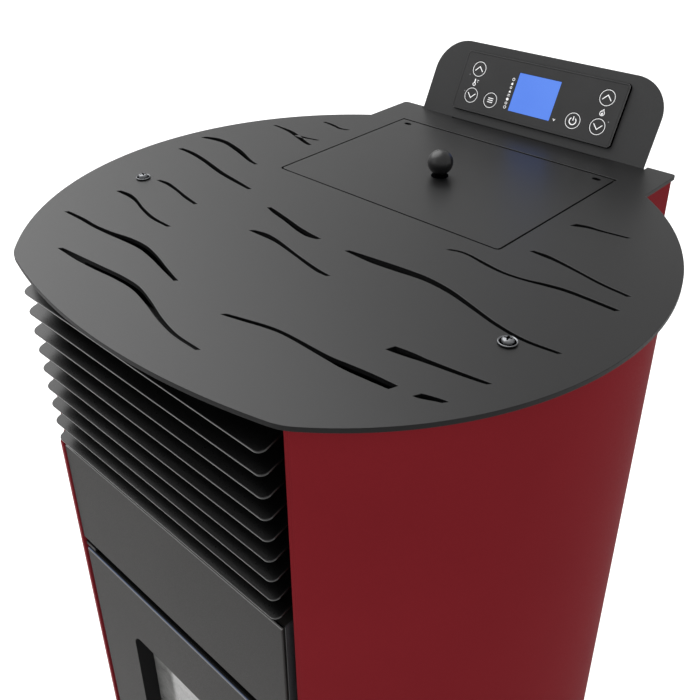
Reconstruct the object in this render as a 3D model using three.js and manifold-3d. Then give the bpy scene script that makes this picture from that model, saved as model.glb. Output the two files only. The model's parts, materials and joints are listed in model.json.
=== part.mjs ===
// Pellet stove: a round sheet-metal body with a flat front and a square rear extension,
// a slotted top plate with a flush fuel lid, a leaning control panel, a louvred warm-air
// outlet, a glazed door, and the fuel feed, fans and ash drawer inside it.
// Millimetres, +Z up. Design coordinates put the axis of the round body at X = Y = 0 and
// the floor at Z = 0; the last group shifts everything along Y to the footprint's centre.
import * as THREE from 'three';
import { mergeVertices } from 'three/addons/utils/BufferGeometryUtils.js';
import Module from 'manifold-3d';

// ---------------------------------------------------------------- driving dimensions
const TOP_Z = 1040;            // upper face of the top plate
const PLATE_T = 4;             // top plate and lid
const PLATE_R = 274;           // round part of the top plate
const FRONT_BOW_R = 566;       // bow of its front edge
const FRONT_Y = -245.5;        // foremost point of the plate
const CORNER_R = 45;           // between the bow and the round part
const EXT_X = 163, EXT_Y = 281; // rear extension half width and rear edge
const BODY_R = 264;            // outside of the side panels
const SHEET = 2;               // side panels
const BODY_EXT_X = 160, BODY_EXT_Y = 279;
const FRONT_ANGLE = -47;       // where the left side panel leaves the round, degrees from +X (mirrored)
const RIGHT_ANGLE = -53.5;     // where the right side panel reaches its front fold
const RIGHT_EDGE_X = 151.5, RIGHT_EDGE_Y = -212.6;   // inner front corner of the right side panel
const LEFT_CUT_Y = -209, LEFT_CUT_Z = 846;           // the left front edge is cut back to this Y above this Z
const LID_X = 126.2, LID_Y0 = 48.6, LID_Y1 = 234.2, LID_GAP = 1.0;
const PIVOT_Z = TOP_Z - 2, PIVOT_Y = LID_Y1 - 2;
const KNOB_R = 12, KNOB_Y = 135;
const SCREW_X = 208, SCREW_Y = -58;
const PANEL_LEAN = 26;         // control panel, degrees back from upright
const PANEL_Y = 275;           // foot of its front face
const PANEL_HALF = 133, PANEL_H = 83, PANEL_TOP_R = 36;
const HOUSING_HALF = 95, HOUSING_V0 = 9.5, HOUSING_V1 = 73, HOUSING_PROUD = 3.2;
const KEY_R = 8.6, KEY_GAP = 0.35;
const KEYS = [['key_up_left', -75, 55.3], ['key_down_left', -75, 26.6], ['key_set', -50, 26.3],
  ['key_power', 49, 26.6], ['key_up_right', 76, 55.8], ['key_down_right', 76, 26.8]];
const LCD = [-25.6, 23.6, 20.6, 60.9];
const FIN_COUNT = 9, FIN_PITCH = 19.44, FIN_TOP = 27.4, FIN_TILT = 14, FIN_T = 2;
const FIN_HALF = 146, FIN_R = 6.5, FIN_BACK = -180.6;
const FRONT_FACE = -219;       // plane of the front panel, door and drawer front
const FRONT_HALF = 146;
const PANEL_TOP = TOP_Z - 196, PANEL_BOTTOM = TOP_Z - 312.5;
const DOOR_TOP = TOP_Z - 325, DOOR_BOTTOM = 215, DOOR_HALF = 145, DOOR_DEPTH = 22;
const WINDOW = [-80, 80, 275, 641], WINDOW_R = 13;
const HINGE_X = -139, HINGE_Y = -213;
const HANDLE_X = 121, HANDLE_Z = 452;
const BASE_Z0 = 25, BASE_Z1 = 30;
const DRAWER_RAIL = [[117, BASE_Z1 - 1], [119, BASE_Z1 - 1], [119, 92], [117, 92], [117, 72], [100, 72], [100, 70], [117, 70]];
const FEET = [['foot_front_left', -132, -165], ['foot_front_right', 132, -165],
  ['foot_rear_left', -130, 225], ['foot_rear_right', 130, 225]];
const AUGER_LOW = [0, 190, 387], AUGER_LENGTH = 229, AUGER_R = 30, AUGER_BORE = 27;
const SCREW_FLIGHT = 24, SCREW_SHAFT = 7, SCREW_PITCH = 40;
const FLUE = { x: -60, z: 170, r: 40, wall: 2, end: 326 };
const INTAKE = { x: 85, z: 170, r: 25, wall: 2, end: 314 };

// ---------------------------------------------------------------- geometry helpers
const wasm = await Module();
wasm.setup();
const rad = (d) => d * Math.PI / 180;

function solid(geometry) {
  const bare = geometry.clone();
  bare.deleteAttribute('normal');
  bare.deleteAttribute('uv');
  const merged = mergeVertices(bare, 1e-4);
  return new wasm.Manifold(new wasm.Mesh({
    numProp: 3,
    vertProperties: new Float32Array(merged.attributes.position.array),
    triVerts: new Uint32Array(merged.index.array),
  }));
}
function shell(body) {
  const mesh = body.getMesh();
  const g = new THREE.BufferGeometry();
  g.setAttribute('position', new THREE.BufferAttribute(new Float32Array(mesh.vertProperties), 3));
  g.setIndex(new THREE.BufferAttribute(new Uint32Array(mesh.triVerts), 1));
  g.computeVertexNormals();
  return g;
}
const join = (first, ...rest) => shell(rest.reduce((a, b) => a.add(solid(b)), solid(first)));
const cut = (first, ...rest) => shell(rest.reduce((a, b) => a.subtract(solid(b)), solid(first)));

function box(x0, x1, y0, y1, z0, z1) {
  const g = new THREE.BoxGeometry(x1 - x0, y1 - y0, z1 - z0);
  return g.translate((x0 + x1) / 2, (y0 + y1) / 2, (z0 + z1) / 2);
}
// A round bar from one point to another.
function bar(r, from, to, sides = 24, r2 = r) {
  const a = new THREE.Vector3(...from), b = new THREE.Vector3(...to);
  const g = new THREE.CylinderGeometry(r2, r, a.distanceTo(b), sides);
  g.applyQuaternion(new THREE.Quaternion().setFromUnitVectors(new THREE.Vector3(0, 1, 0), b.clone().sub(a).normalize()));
  return g.translate((a.x + b.x) / 2, (a.y + b.y) / 2, (a.z + b.z) / 2);
}
const shapeOf = (points, holes = []) => {
  const s = new THREE.Shape(points.map(([x, y]) => new THREE.Vector2(x, y)));
  for (const h of holes) s.holes.push(new THREE.Path(h.map(([x, y]) => new THREE.Vector2(x, y))));
  return s;
};
const extrude = (points, depth, holes) => new THREE.ExtrudeGeometry(shapeOf(points, holes), { depth, bevelEnabled: false, steps: 1 });
const plateZ = (points, z0, z1, holes) => extrude(points, z1 - z0, holes).translate(0, 0, z0);
const plateY = (points, y0, y1, holes) => extrude(points, y1 - y0, holes).rotateX(Math.PI / 2).translate(0, y1, 0);
const TO_X = new THREE.Matrix4().makeBasis(new THREE.Vector3(0, 1, 0), new THREE.Vector3(0, 0, 1), new THREE.Vector3(1, 0, 0));
const plateX = (points, x0, x1, holes) => extrude(points, x1 - x0, holes).applyMatrix4(TO_X).translate(x0, 0, 0);

function arc(cx, cy, r, from, to, steps) {
  const out = [];
  for (let i = 0; i <= steps; i++) {
    const a = rad(from + (to - from) * i / steps);
    out.push([cx + r * Math.cos(a), cy + r * Math.sin(a)]);
  }
  return out;
}
function roundRect(x0, x1, y0, y1, r, steps = 4, corners = [1, 1, 1, 1]) {
  const c = [[x1 - r, y0 + r, -90], [x1 - r, y1 - r, 0], [x0 + r, y1 - r, 90], [x0 + r, y0 + r, 180]];
  const sharp = [[x1, y0], [x1, y1], [x0, y1], [x0, y0]];
  return c.flatMap(([cx, cy, a], i) => corners[i] ? arc(cx, cy, r, a, a + 90, steps) : [sharp[i]]);
}
const mirrorX = (points) => points.map(([x, y]) => [-x, y]).reverse();
const circle = (cx, cy, r, n) => Array.from({ length: n }, (_, i) => [cx + r * Math.cos(2 * Math.PI * i / n), cy + r * Math.sin(2 * Math.PI * i / n)]);

// A closed solid through rectangular sections [z, x0, x1, y0, y1], lowest first.
function tower(sections) {
  const v = [], f = [];
  for (const [z, x0, x1, y0, y1] of sections) v.push([x0, y0, z], [x1, y0, z], [x1, y1, z], [x0, y1, z]);
  f.push([0, 2, 1], [0, 3, 2]);
  for (let s = 0; s < sections.length - 1; s++) {
    for (let i = 0; i < 4; i++) {
      const a = 4 * s + i, b = 4 * s + (i + 1) % 4;
      f.push([a, b, b + 4], [a, b + 4, a + 4]);
    }
  }
  const t = 4 * (sections.length - 1);
  f.push([t, t + 1, t + 2], [t, t + 2, t + 3]);
  const g = new THREE.BufferGeometry();
  g.setAttribute('position', new THREE.BufferAttribute(new Float32Array(v.flat()), 3));
  g.setIndex(f.flat());
  g.computeVertexNormals();
  return g;
}

// ---------------------------------------------------------------- finishes
const finish = (color, roughness, metalness) => ({ color, roughness, metalness });
const BLACK = finish(0x3b3b3c, 0.62, 0.25);
const DARK = finish(0x4a4a49, 0.6, 0.25);
const RED = finish(0x741f25, 0.45, 0.2);
const STEEL = finish(0x8b8d8f, 0.45, 0.9);
const ZINC = finish(0xb4b6b8, 0.3, 0.9);
const IRON = finish(0x2a2a2b, 0.8, 0.4);
const PLASTIC = finish(0x202021, 0.5, 0);

const stove = new THREE.Group();
function piece(name, geometry, look, parent = stove) {
  const mesh = new THREE.Mesh(geometry, new THREE.MeshStandardMaterial(look));
  mesh.name = name;
  parent.add(mesh);
  return mesh;
}

// ---------------------------------------------------------------- top plate
// Half of the outline on the right: bowed front, rounded front corner, round side, rear extension.
function plateOutline() {
  const bowC = FRONT_Y + FRONT_BOW_R;
  const a = PLATE_R - CORNER_R, b = FRONT_BOW_R - CORNER_R;
  const fy = (a * a - b * b + bowC * bowC) / (2 * bowC), fx = Math.sqrt(a * a - fy * fy);
  const bowEnd = Math.atan2(fy - bowC, fx) * 180 / Math.PI;
  const sideStart = Math.atan2(fy, fx) * 180 / Math.PI;
  const sideEnd = Math.acos(EXT_X / PLATE_R) * 180 / Math.PI;
  const right = [
    ...arc(0, bowC, FRONT_BOW_R, -90, bowEnd, 6),
    ...arc(fx, fy, CORNER_R, bowEnd, sideStart, 5).slice(1),
    ...arc(0, 0, PLATE_R, sideStart, sideEnd, 30).slice(1),
    ...arc(EXT_X - 4, EXT_Y - 4, 4, 0, 90, 3),
    [134.5, EXT_Y], [134.5, PANEL_Y - 0.4], [90, PANEL_Y - 0.4], [90, PANEL_Y - 3.9],
  ];
  return [...right, ...mirrorX(right).slice(0, -1)];
}
// Air slots: points along each slot as [x, y, width].
const SLOTS = [
  [[-198, -148.6, 3], [-174.6, -147.7, 4], [-153.4, -148.2, 4], [-132.1, -146.6, 5.2], [-110.9, -143.6, 7.4], [-89.6, -143, 7.2], [-68.4, -146.8, 6], [-47.2, -152.6, 4.4], [-25, -158.3, 2.8]],
  [[-139.5, -190.3, 3], [-113, -189.4, 6], [-88.2, -187.7, 7], [-63.4, -185.5, 6.8], [-38.9, -185.9, 6.2], [-14, -191.9, 5], [10.8, -199.7, 3.8], [35.6, -204.8, 2.8], [61.5, -205.5, 2.6]],
  [[-201, -91.2, 3.4], [-187.9, -90.4, 5], [-176.4, -91.6, 4], [-164.5, -94.8, 3], [-152.6, -98.9, 3], [-129.2, -104.4, 3.4], [-104.5, -105.2, 2.8]],
  [[-193, -51, 2.8], [-183.6, -50.2, 4], [-175, -50.8, 4], [-158.4, -54, 3.2], [-141.5, -58, 3.6], [-123.5, -61, 2.8]],
  [[-243, 14, 4], [-226.1, 14.1, 5], [-209.9, 11.9, 5], [-193.7, 8.6, 5], [-161.3, 0.8, 5], [-128.9, -4, 4.2], [-111.5, -6.3, 3]],
  [[-251, 50.5, 4], [-238, 55, 7], [-226.1, 56.4, 6.4], [-213.8, 55.3, 6], [-189.4, 49, 6], [-165.2, 40.4, 4], [-152, 37.6, 2.6]],
  [[-220, 125.6, 2.6], [-209.5, 125.4, 3.2], [-192.2, 123.3, 5], [-175.3, 118, 5.6], [-158, 111.8, 4.4], [-149, 109.6, 3.4]],
  [[-180, 119.6, 3.6], [-168, 120.6, 4], [-160, 122.4, 3.6], [-151, 124.6, 3]],
  [[-186, 168.6, 2.6], [-176, 168.4, 3.6], [-167, 166.9, 3.6], [-158.4, 165.3, 3.4], [-148.5, 167.8, 2.8]],
  [[-46.5, -62, 3], [-32.4, -60.2, 6], [-20.2, -60.6, 5], [-7.6, -62.6, 4], [17.3, -68.2, 3.2], [42.1, -73.2, 3.8], [56, -74, 2.6]],
  [[-68.5, -21.3, 3], [-58, -24, 5], [-39.6, -28.1, 5.2], [-21.2, -32.8, 6], [-11.9, -34.6, 6.4], [-2.9, -35.6, 6], [7.5, -34.8, 3]],
  [[38.5, -34.2, 3], [64.4, -32.7, 7.6], [89.3, -29.8, 8], [114.1, -27.4, 6.4], [139, -30.2, 5.2], [164.2, -37.1, 4], [189, -44.1, 3.4], [213.8, -47.7, 3.2], [240, -45.2, 2.8]],
  [[39, -164.5, 3], [58.3, -159, 3.6], [76.3, -154.2, 3.6], [94, -152.1, 3.2], [130, -152.4, 4.4], [147.6, -151.4, 7], [165.6, -149.4, 7.6], [184.5, -147.6, 6.6]],
  [[97, 21.8, 2.6], [106, 25, 2.6], [115.9, 25.2, 2.6], [133.9, 21.8, 3.4], [151.6, 19.7, 3], [169.2, 21.5, 3], [186.8, 25.9, 4.2], [204.5, 28.5, 4], [241, 28.1, 3.6]],
  [[147.5, 64.2, 3], [159.5, 64.3, 4.6], [170.6, 63.2, 3.8], [192.2, 58.8, 3], [214.2, 53.9, 3], [237.5, 51.3, 2.8]],
  [[154.5, -115.6, 7], [164.5, -113.8, 7], [173.2, -112.4, 6], [181.8, -111.2, 4.6], [207.4, -107.3, 3.6], [226, -103.9, 2.8]],
  [[147, 126.8, 6], [158.8, 131, 4.4], [169.9, 131.9, 3.2], [193, 135.2, 2.6]],
  [[200, -143.6, 5], [204.8, -141.8, 5.4], [212.4, -138.8, 4], [217.5, -137.2, 3]],
];
function slotOutline(points) {
  const curve = new THREE.CatmullRomCurve3(points.map((p) => new THREE.Vector3(...p)), false, 'centripetal');
  const along = curve.getPoints(Math.max(5, Math.round((points.at(-1)[0] - points[0][0]) / 17)));
  const upper = along.map((p) => [p.x, p.y + p.z / 2]), lower = along.map((p) => [p.x, p.y - p.z / 2]);
  upper[0][0] += 1.2; lower[0][0] -= 1.2; upper.at(-1)[0] += 1.2; lower.at(-1)[0] -= 1.2;
  return [...lower, ...upper.reverse()];
}
const z0 = TOP_Z - PLATE_T;
{
  const opening = roundRect(-LID_X - LID_GAP, LID_X + LID_GAP, LID_Y0 - LID_GAP, LID_Y1 + LID_GAP, 4, 3, [1, 0, 0, 1]);
  const cuts = [
    plateZ(opening, z0 - 2, TOP_Z + 2),
    ...SLOTS.map((s) => plateZ(slotOutline(s), z0 - 2, TOP_Z + 2)),
    ...[-1, 1].map((s) => plateZ(circle(s * SCREW_X, SCREW_Y, 3.5, 16), z0 - 2, TOP_Z + 2)),
    ...[-1, 1].map((s) => bar(1.5, [s * 126, PIVOT_Y, PIVOT_Z], [s * 139, PIVOT_Y, PIVOT_Z], 10)),
  ];
  piece('top_plate', cut(plateZ(plateOutline(), z0, TOP_Z), ...cuts), BLACK);
}
for (const [side, s] of [['left', -1], ['right', 1]]) {
  piece(`lid_pivot_pin_${side}`, bar(1.2, [s * 117, PIVOT_Y, PIVOT_Z], [s * 138.6, PIVOT_Y, PIVOT_Z], 10), STEEL);
  // Washer-head screw: flange, low head with a cross recess, shank through the plate.
  const profile = [[0, -18], [2.9, -18], [2.9, 0.3], [7, 0.3], [7, 1.3], [4.9, 1.7], [4.5, 3.2], [3.2, 4], [0, 4.2]].map(([r, z]) => new THREE.Vector2(r, z));
  const head = new THREE.LatheGeometry(profile, 20).rotateX(Math.PI / 2);
  const cross = [box(-2.6, 2.6, -0.6, 0.6, 2.6, 6), box(-0.6, 0.6, -2.6, 2.6, 2.6, 6)];
  piece(`top_screw_${side}`, cut(head, ...cross), ZINC).position.set(s * SCREW_X, SCREW_Y, TOP_Z);
}

// ---------------------------------------------------------------- fuel lid
{
  const y0 = LID_Y0, y1 = LID_Y1, round = arc(PIVOT_Y, PIVOT_Z, 2, -90, 90, 6);
  const section = [[y0, z0], ...round, [y0, TOP_Z]];
  const slab = solid(plateX(section, -LID_X, LID_X)).intersect(solid(plateZ(roundRect(-LID_X, LID_X, y0, y1 + 3, 3, 3), z0 - 2, TOP_Z + 2)));
  let body = slab;
  for (const s of [-1, 1]) body = body.subtract(solid(bar(1.5, [s * 116, PIVOT_Y, PIVOT_Z], [s * 130, PIVOT_Y, PIVOT_Z], 10)));
  body = body.subtract(solid(bar(3.4, [0, KNOB_Y, z0 - 2], [0, KNOB_Y, TOP_Z + 2], 16)));
  piece('lid', shell(body), BLACK);
  // Ball knob with its foot, stud and nut below the lid.
  const ball = arc(0, KNOB_R + 1.5, KNOB_R, -66, 90, 10);
  ball[ball.length - 1][0] = 0;
  const knob = [[0, -12], [3, -12], [3, -8.8], [5.4, -8.6], [5.4, -4.4], [3, -4.3], [3, 0.3], [5, 0.3], [4.95, 1.2], ...ball]
    .map(([r, z]) => new THREE.Vector2(r, z));
  piece('lid_knob', new THREE.LatheGeometry(knob, 20).rotateX(Math.PI / 2), PLASTIC).position.set(0, KNOB_Y, TOP_Z);
}

// ---------------------------------------------------------------- control panel
// Local frame of the leaning panel: X across, Y up the slope, Z out of its front face.
const leaning = new THREE.Matrix4().makeTranslation(0, PANEL_Y, TOP_Z).multiply(new THREE.Matrix4().makeRotationX(rad(90 - PANEL_LEAN)));
const lean = (g) => g.applyMatrix4(leaning);
{
  const outline = [[-PANEL_HALF, -0.9], [PANEL_HALF, -0.9],
    ...arc(PANEL_HALF - PANEL_TOP_R, PANEL_H - PANEL_TOP_R, PANEL_TOP_R, 0, 90, 9),
    ...arc(-PANEL_HALF + PANEL_TOP_R, PANEL_H - PANEL_TOP_R, PANEL_TOP_R, 90, 180, 9)];
  const sheet = lean(plateZ(outline, -2, 0));
  const tab = box(-PANEL_HALF, PANEL_HALF, PANEL_Y, PANEL_Y + 2, TOP_Z - 70, TOP_Z + 0.3);
  const window = lean(plateZ(roundRect(-88.4, 88.4, 12.6, 69.9, 2, 2), -6, 4));
  const notch = box(-60, 60, PANEL_Y - 3, PANEL_Y + 5, TOP_Z - 80, TOP_Z - 55);
  piece('control_bracket', shell(solid(sheet).add(solid(tab)).subtract(solid(window)).subtract(solid(notch))), DARK);

  const [lx0, lx1, ly0, ly1] = LCD;
  const bezel = lean(plateZ(roundRect(-HOUSING_HALF, HOUSING_HALF, HOUSING_V0, HOUSING_V1, 3.5, 4), 0.3, HOUSING_PROUD));
  const tray = lean(plateZ(roundRect(-88, 88, 13, 69.5, 2, 2), -17, 0.4));
  const hollow = lean(plateZ(roundRect(-86, 86, 15, 67.5, 1, 2), -18, -0.6));
  const glass = lean(plateZ(roundRect(lx0 - 0.3, lx1 + 0.3, ly0 - 0.3, ly1 + 0.3, 0.8, 2), -3, 6));
  const holes = KEYS.map(([, x, y]) => lean(plateZ(circle(x, y, KEY_R + KEY_GAP, 20), -3, 6)));
  let body = solid(bezel).add(solid(tray)).subtract(solid(hollow)).subtract(solid(glass));
  for (const h of holes) body = body.subtract(solid(h));
  piece('display_housing', shell(body), PLASTIC);
  piece('lcd_screen', lean(plateZ(roundRect(lx0, lx1, ly0, ly1, 0.6, 2), -3.7, HOUSING_PROUD - 0.3)), finish(0x6491fa, 0.25, 0));
  for (const [name, x, y] of KEYS) {
    const profile = [[0, -1.9], [7, -1.9], [KEY_R, -1.4], [KEY_R, HOUSING_PROUD - 0.7], [KEY_R - 0.4, HOUSING_PROUD - 0.25], [0, HOUSING_PROUD - 0.25]]
      .map(([r, z]) => new THREE.Vector2(r, z));
    piece(name, lean(new THREE.LatheGeometry(profile, 20).rotateX(Math.PI / 2).translate(x, y, 0)), PLASTIC);
  }
}

// ---------------------------------------------------------------- louvre fins
for (let i = 0; i < FIN_COUNT; i++) {
  const front = -228 + 0.5 * i, z = TOP_Z - FIN_TOP - FIN_PITCH * i;
  const depth = (FIN_BACK - front) / Math.cos(rad(FIN_TILT));
  const corner = arc(FIN_HALF - FIN_R, FIN_R, FIN_R, -90, 0, 6);
  const outline = [...corner, [FIN_HALF, depth - 6], [FIN_HALF - 6, depth], [-FIN_HALF + 6, depth], [-FIN_HALF, depth - 6], ...mirrorX(corner)];
  const fin = piece(`louvre_fin_${i + 1}`, plateZ(outline, -FIN_T, 0), BLACK);
  fin.position.set(0, front, z);
  fin.rotation.x = rad(FIN_TILT);
}

// ---------------------------------------------------------------- chassis
const postSection = (s) => {
  const p = [[122, -180], [144, -180], [144, -174], [122, -174]];
  return s > 0 ? p : mirrorX(p);
};
piece('front_post_left', plateZ(postSection(-1), BASE_Z1 + 0.3, z0 - 0.4), IRON);
piece('front_post_right', plateZ(postSection(1), BASE_Z1 + 0.3, z0 - 0.4), IRON);
{
  const fa = FRONT_ANGLE, ra = Math.acos(BODY_EXT_X / BODY_R) * 180 / Math.PI;
  const left = [[0, -218], [FRONT_HALF + 6, -218], ...arc(0, 0, BODY_R, fa, ra, 24), [BODY_EXT_X, BODY_EXT_Y]];
  const right = [[0, -218], [FRONT_HALF, -218], [RIGHT_EDGE_X, RIGHT_EDGE_Y], ...arc(0, 0, BODY_R, RIGHT_ANGLE, ra, 26), [BODY_EXT_X, BODY_EXT_Y]];
  const outline = [...right, ...mirrorX(left).slice(0, -1)];
  const holes = FEET.map(([, x, y]) => circle(x, y, 5.4, 16));
  holes.push([[-60, 60], [60, 60], [60, 90], [-60, 90]].reverse());
  // Angle rails on the plate carry the ash drawer.
  const rails = [-1, 1].map((s) => plateY(s > 0 ? DRAWER_RAIL : mirrorX(DRAWER_RAIL), -176, -30));
  piece('base_plate', join(plateZ(outline, BASE_Z0, BASE_Z1, holes), ...rails), BLACK);
}
for (const [name, x, y] of FEET) {
  const profile = [[0, 0], [18, 0], [20, 1.5], [20, 6], [17, 9], [9.2, 10], [9.2, 12]].map(([r, z]) => new THREE.Vector2(r, z));
  profile.push(new THREE.Vector2(0, 12));
  const pad = new THREE.LatheGeometry(profile, 20).rotateX(Math.PI / 2);
  const hex = new THREE.CylinderGeometry(9.8, 9.8, 13, 6).rotateX(Math.PI / 2).translate(0, 0, 18.1);
  const stem = bar(5, [0, 0, 20], [0, 0, 62], 16);
  piece(name, join(pad, hex, stem), ZINC).position.set(x, y, 0);
}

// ---------------------------------------------------------------- casing
function sidePanel(s) {
  // On the left the sheet leaves the round at FRONT_ANGLE, runs straight to the folded front edge and returns inwards.
  // On the right the fold sits further back, so the side of the front panel and the door edge stay open to view.
  const fa = s > 0 ? RIGHT_ANGLE : FRONT_ANGLE, inner = BODY_R - SHEET;
  const ra = Math.acos(BODY_EXT_X / BODY_R) * 180 / Math.PI, ri = Math.acos((BODY_EXT_X - SHEET) / inner) * 180 / Math.PI;
  const y = s > 0 ? RIGHT_EDGE_Y : FRONT_FACE - 1.2, x0 = s > 0 ? RIGHT_EDGE_X : FRONT_HALF + 1.2, x1 = s > 0 ? RIGHT_EDGE_X + 4.2 : FRONT_HALF + 6;
  const p = [
    [x0, -198], [x0, y + 0.5], [x0 + 0.5, y], [x1 - 0.7, y], [x1 + 0.2, y + 0.4],
    ...arc(0, 0, BODY_R, fa, ra, 28),
    [BODY_EXT_X, BODY_EXT_Y], [146, BODY_EXT_Y], [146, BODY_EXT_Y - SHEET], [BODY_EXT_X - SHEET, BODY_EXT_Y - SHEET],
    ...arc(0, 0, inner, ri, fa, 28),
    [x1 - 0.6, y + 2], [x0 + 1.6, y + 2], [x0 + 1.6, -198],
  ];
  return s > 0 ? p : mirrorX(p);
}
// Beside the louvre fins the left front edge is cut back.
const louvreCut = box(-168, -146.6, -222, LEFT_CUT_Y, LEFT_CUT_Z, z0 + 1);
piece('side_panel_left', shell(solid(plateZ(sidePanel(-1), BASE_Z1 + 0.3, z0 - 0.4)).subtract(solid(louvreCut))), RED);
piece('side_panel_right', plateZ(sidePanel(1), BASE_Z1 + 0.3, z0 - 0.4), RED);
{
  const holes = [circle(FLUE.x, FLUE.z, FLUE.r + 2, 32), circle(INTAKE.x, INTAKE.z, INTAKE.r + 2, 24),
    [[91, 78], [91, 110], [145, 110], [145, 78]].map(([x, z]) => [x - 12, z - 10])];
  for (let i = 0; i < 9; i++) holes.push([[-95, 600 + 14 * i], [-95, 606 + 14 * i], [95, 606 + 14 * i], [95, 600 + 14 * i]]);
  const face = [[-145.6, BASE_Z1 + 0.3], [145.6, BASE_Z1 + 0.3], [145.6, z0 - 0.4], [-145.6, z0 - 0.4]];
  piece('rear_panel', plateY(face, 277.4, 278.9, holes), BLACK);
}
{
  // Folded front panel: face with returns along all four edges.
  const f = FRONT_FACE, x = FRONT_HALF;
  const outer = box(-x, x, f, f + 24, PANEL_BOTTOM, PANEL_TOP);
  const inner = box(-x + 1.6, x - 1.6, f + 1.8, f + 30, PANEL_BOTTOM + 1.6, PANEL_TOP - 1.6);
  piece('upper_front_panel', cut(outer, inner), DARK);
}

// ---------------------------------------------------------------- door
{
  const f = FRONT_FACE, b = f + DOOR_DEPTH, x = DOOR_HALF;
  const block = plateY(roundRect(-x, x, DOOR_BOTTOM, DOOR_TOP, 4, 3), f, b);
  const [wx0, wx1, wz0, wz1] = WINDOW;
  const pane = plateY(roundRect(wx0, wx1, wz0, wz1, WINDOW_R, 5), f - 5, b + 5);
  const rebate = box(wx0 - 13, wx1 + 13, b - 5, b + 5, wz0 - 13, wz1 + 13);
  // Hollow from behind, leaving the rim, the collar round the window and the hinge and handle bosses.
  let pocket = solid(box(-x + 3, x - 3, f + 3.5, b + 5, DOOR_BOTTOM + 3, DOOR_TOP - 3))
    .subtract(solid(box(wx0 - 17, wx1 + 17, f, b + 6, wz0 - 17, wz1 + 17)))
    .subtract(solid(box(-x, HINGE_X + 7, f, b + 6, DOOR_TOP - 26, DOOR_TOP)))
    .subtract(solid(box(-x, HINGE_X + 7, f, b + 6, DOOR_BOTTOM, DOOR_BOTTOM + 26)))
    .subtract(solid(bar(13, [HANDLE_X, f, HANDLE_Z], [HANDLE_X, b + 6, HANDLE_Z], 20)));
  let body = solid(block).subtract(solid(pane)).subtract(solid(rebate)).subtract(pocket);
  // Bevelled front edges, so that the hinge side clears the casing as it turns.
  for (const e of [-1, 1]) body = body.subtract(solid(plateZ([[e * (x - 1.8), f - 1], [e * (x + 1), f - 1], [e * (x + 1), f + 1.8], [e * x, f + 1.8], [e * (x - 1.8), f]], DOOR_BOTTOM - 1, DOOR_TOP + 1)));
  body = body.subtract(solid(plateX([[f - 1, DOOR_TOP - 2.4], [f, DOOR_TOP - 2.4], [f + 2.4, DOOR_TOP], [f + 2.4, DOOR_TOP + 1], [f - 1, DOOR_TOP + 1]], -x - 1, x + 1)));
  for (const [za, zb] of [[DOOR_TOP - 18, DOOR_TOP + 2], [DOOR_BOTTOM - 2, DOOR_BOTTOM + 18]]) {
    body = body.subtract(solid(bar(3.4, [HINGE_X, HINGE_Y, za], [HINGE_X, HINGE_Y, zb], 16)));
  }
  body = body.subtract(solid(bar(5.5, [HANDLE_X, f - 2, HANDLE_Z], [HANDLE_X, b + 2, HANDLE_Z], 16)));
  piece('door_frame', shell(body), DARK);
  piece('door_glass', box(wx0 - 12, wx1 + 12, b - 4.7, b - 0.7, wz0 - 12, wz1 + 12), finish(0x2a2c2e, 0.05, 0));
  const gx = 103, gz0 = 245, gz1 = 690;
  piece('door_gasket', plateY(roundRect(-gx - 5, gx + 5, gz0 - 5, gz1 + 5, 14, 4), b + 0.3, b + 6.9,
    [roundRect(-gx + 5, gx - 5, gz0 + 5, gz1 - 5, 6, 4).reverse()]), finish(0x77746d, 0.95, 0));
  // Pivot brackets above and below the door, each with its pin, fixed to the left post.
  const arm = (za, zb) => box(-145.5, -130, HINGE_Y - 5, -180.3, za, zb);
  const foot = (za, zb) => box(-143, -125, -182.3, -180.3, za, zb);
  piece('door_hinge_upper', join(arm(DOOR_TOP + 2, DOOR_TOP + 6), foot(DOOR_TOP + 3, DOOR_TOP + 11.5),
    bar(3, [HINGE_X, HINGE_Y, DOOR_TOP - 14], [HINGE_X, HINGE_Y, DOOR_TOP + 4], 16)), STEEL);
  piece('door_hinge_lower', join(arm(DOOR_BOTTOM - 4.6, DOOR_BOTTOM - 1), foot(DOOR_BOTTOM - 4.6, DOOR_BOTTOM - 0.3),
    bar(3, [HINGE_X, HINGE_Y, DOOR_BOTTOM - 3], [HINGE_X, HINGE_Y, DOOR_BOTTOM + 14], 16)), STEEL);
  // Handle: rose, spindle through the door, hanging lever, and the cam behind.
  const hx = HANDLE_X, hz = HANDLE_Z;
  const lever = new THREE.ExtrudeGeometry(shapeOf(circle(0, 0, 5.5, 12)), {
    steps: 9, bevelEnabled: false,
    extrudePath: new THREE.CatmullRomCurve3([[hx, f - 20, hz + 4], [hx, f - 26, hz - 6], [hx, f - 28, hz - 30], [hx, f - 28, hz - 70], [hx, f - 27, hz - 104]].map((p) => new THREE.Vector3(...p))),
  });
  piece('door_handle', join(bar(13, [hx, f - 6, hz], [hx, f - 0.3, hz], 24), bar(7, [hx, f - 25, hz], [hx, f - 5, hz], 18, 6),
    lever, bar(5, [hx, f - 6, hz], [hx, b + 1, hz], 16),
    plateY([[hx - 8, hz + 8], [hx - 8, hz - 8], [hx + 8, hz - 8], [hx + 8, hz + 8]].reverse(), b + 0.6, b + 5)), STEEL);
}

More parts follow.
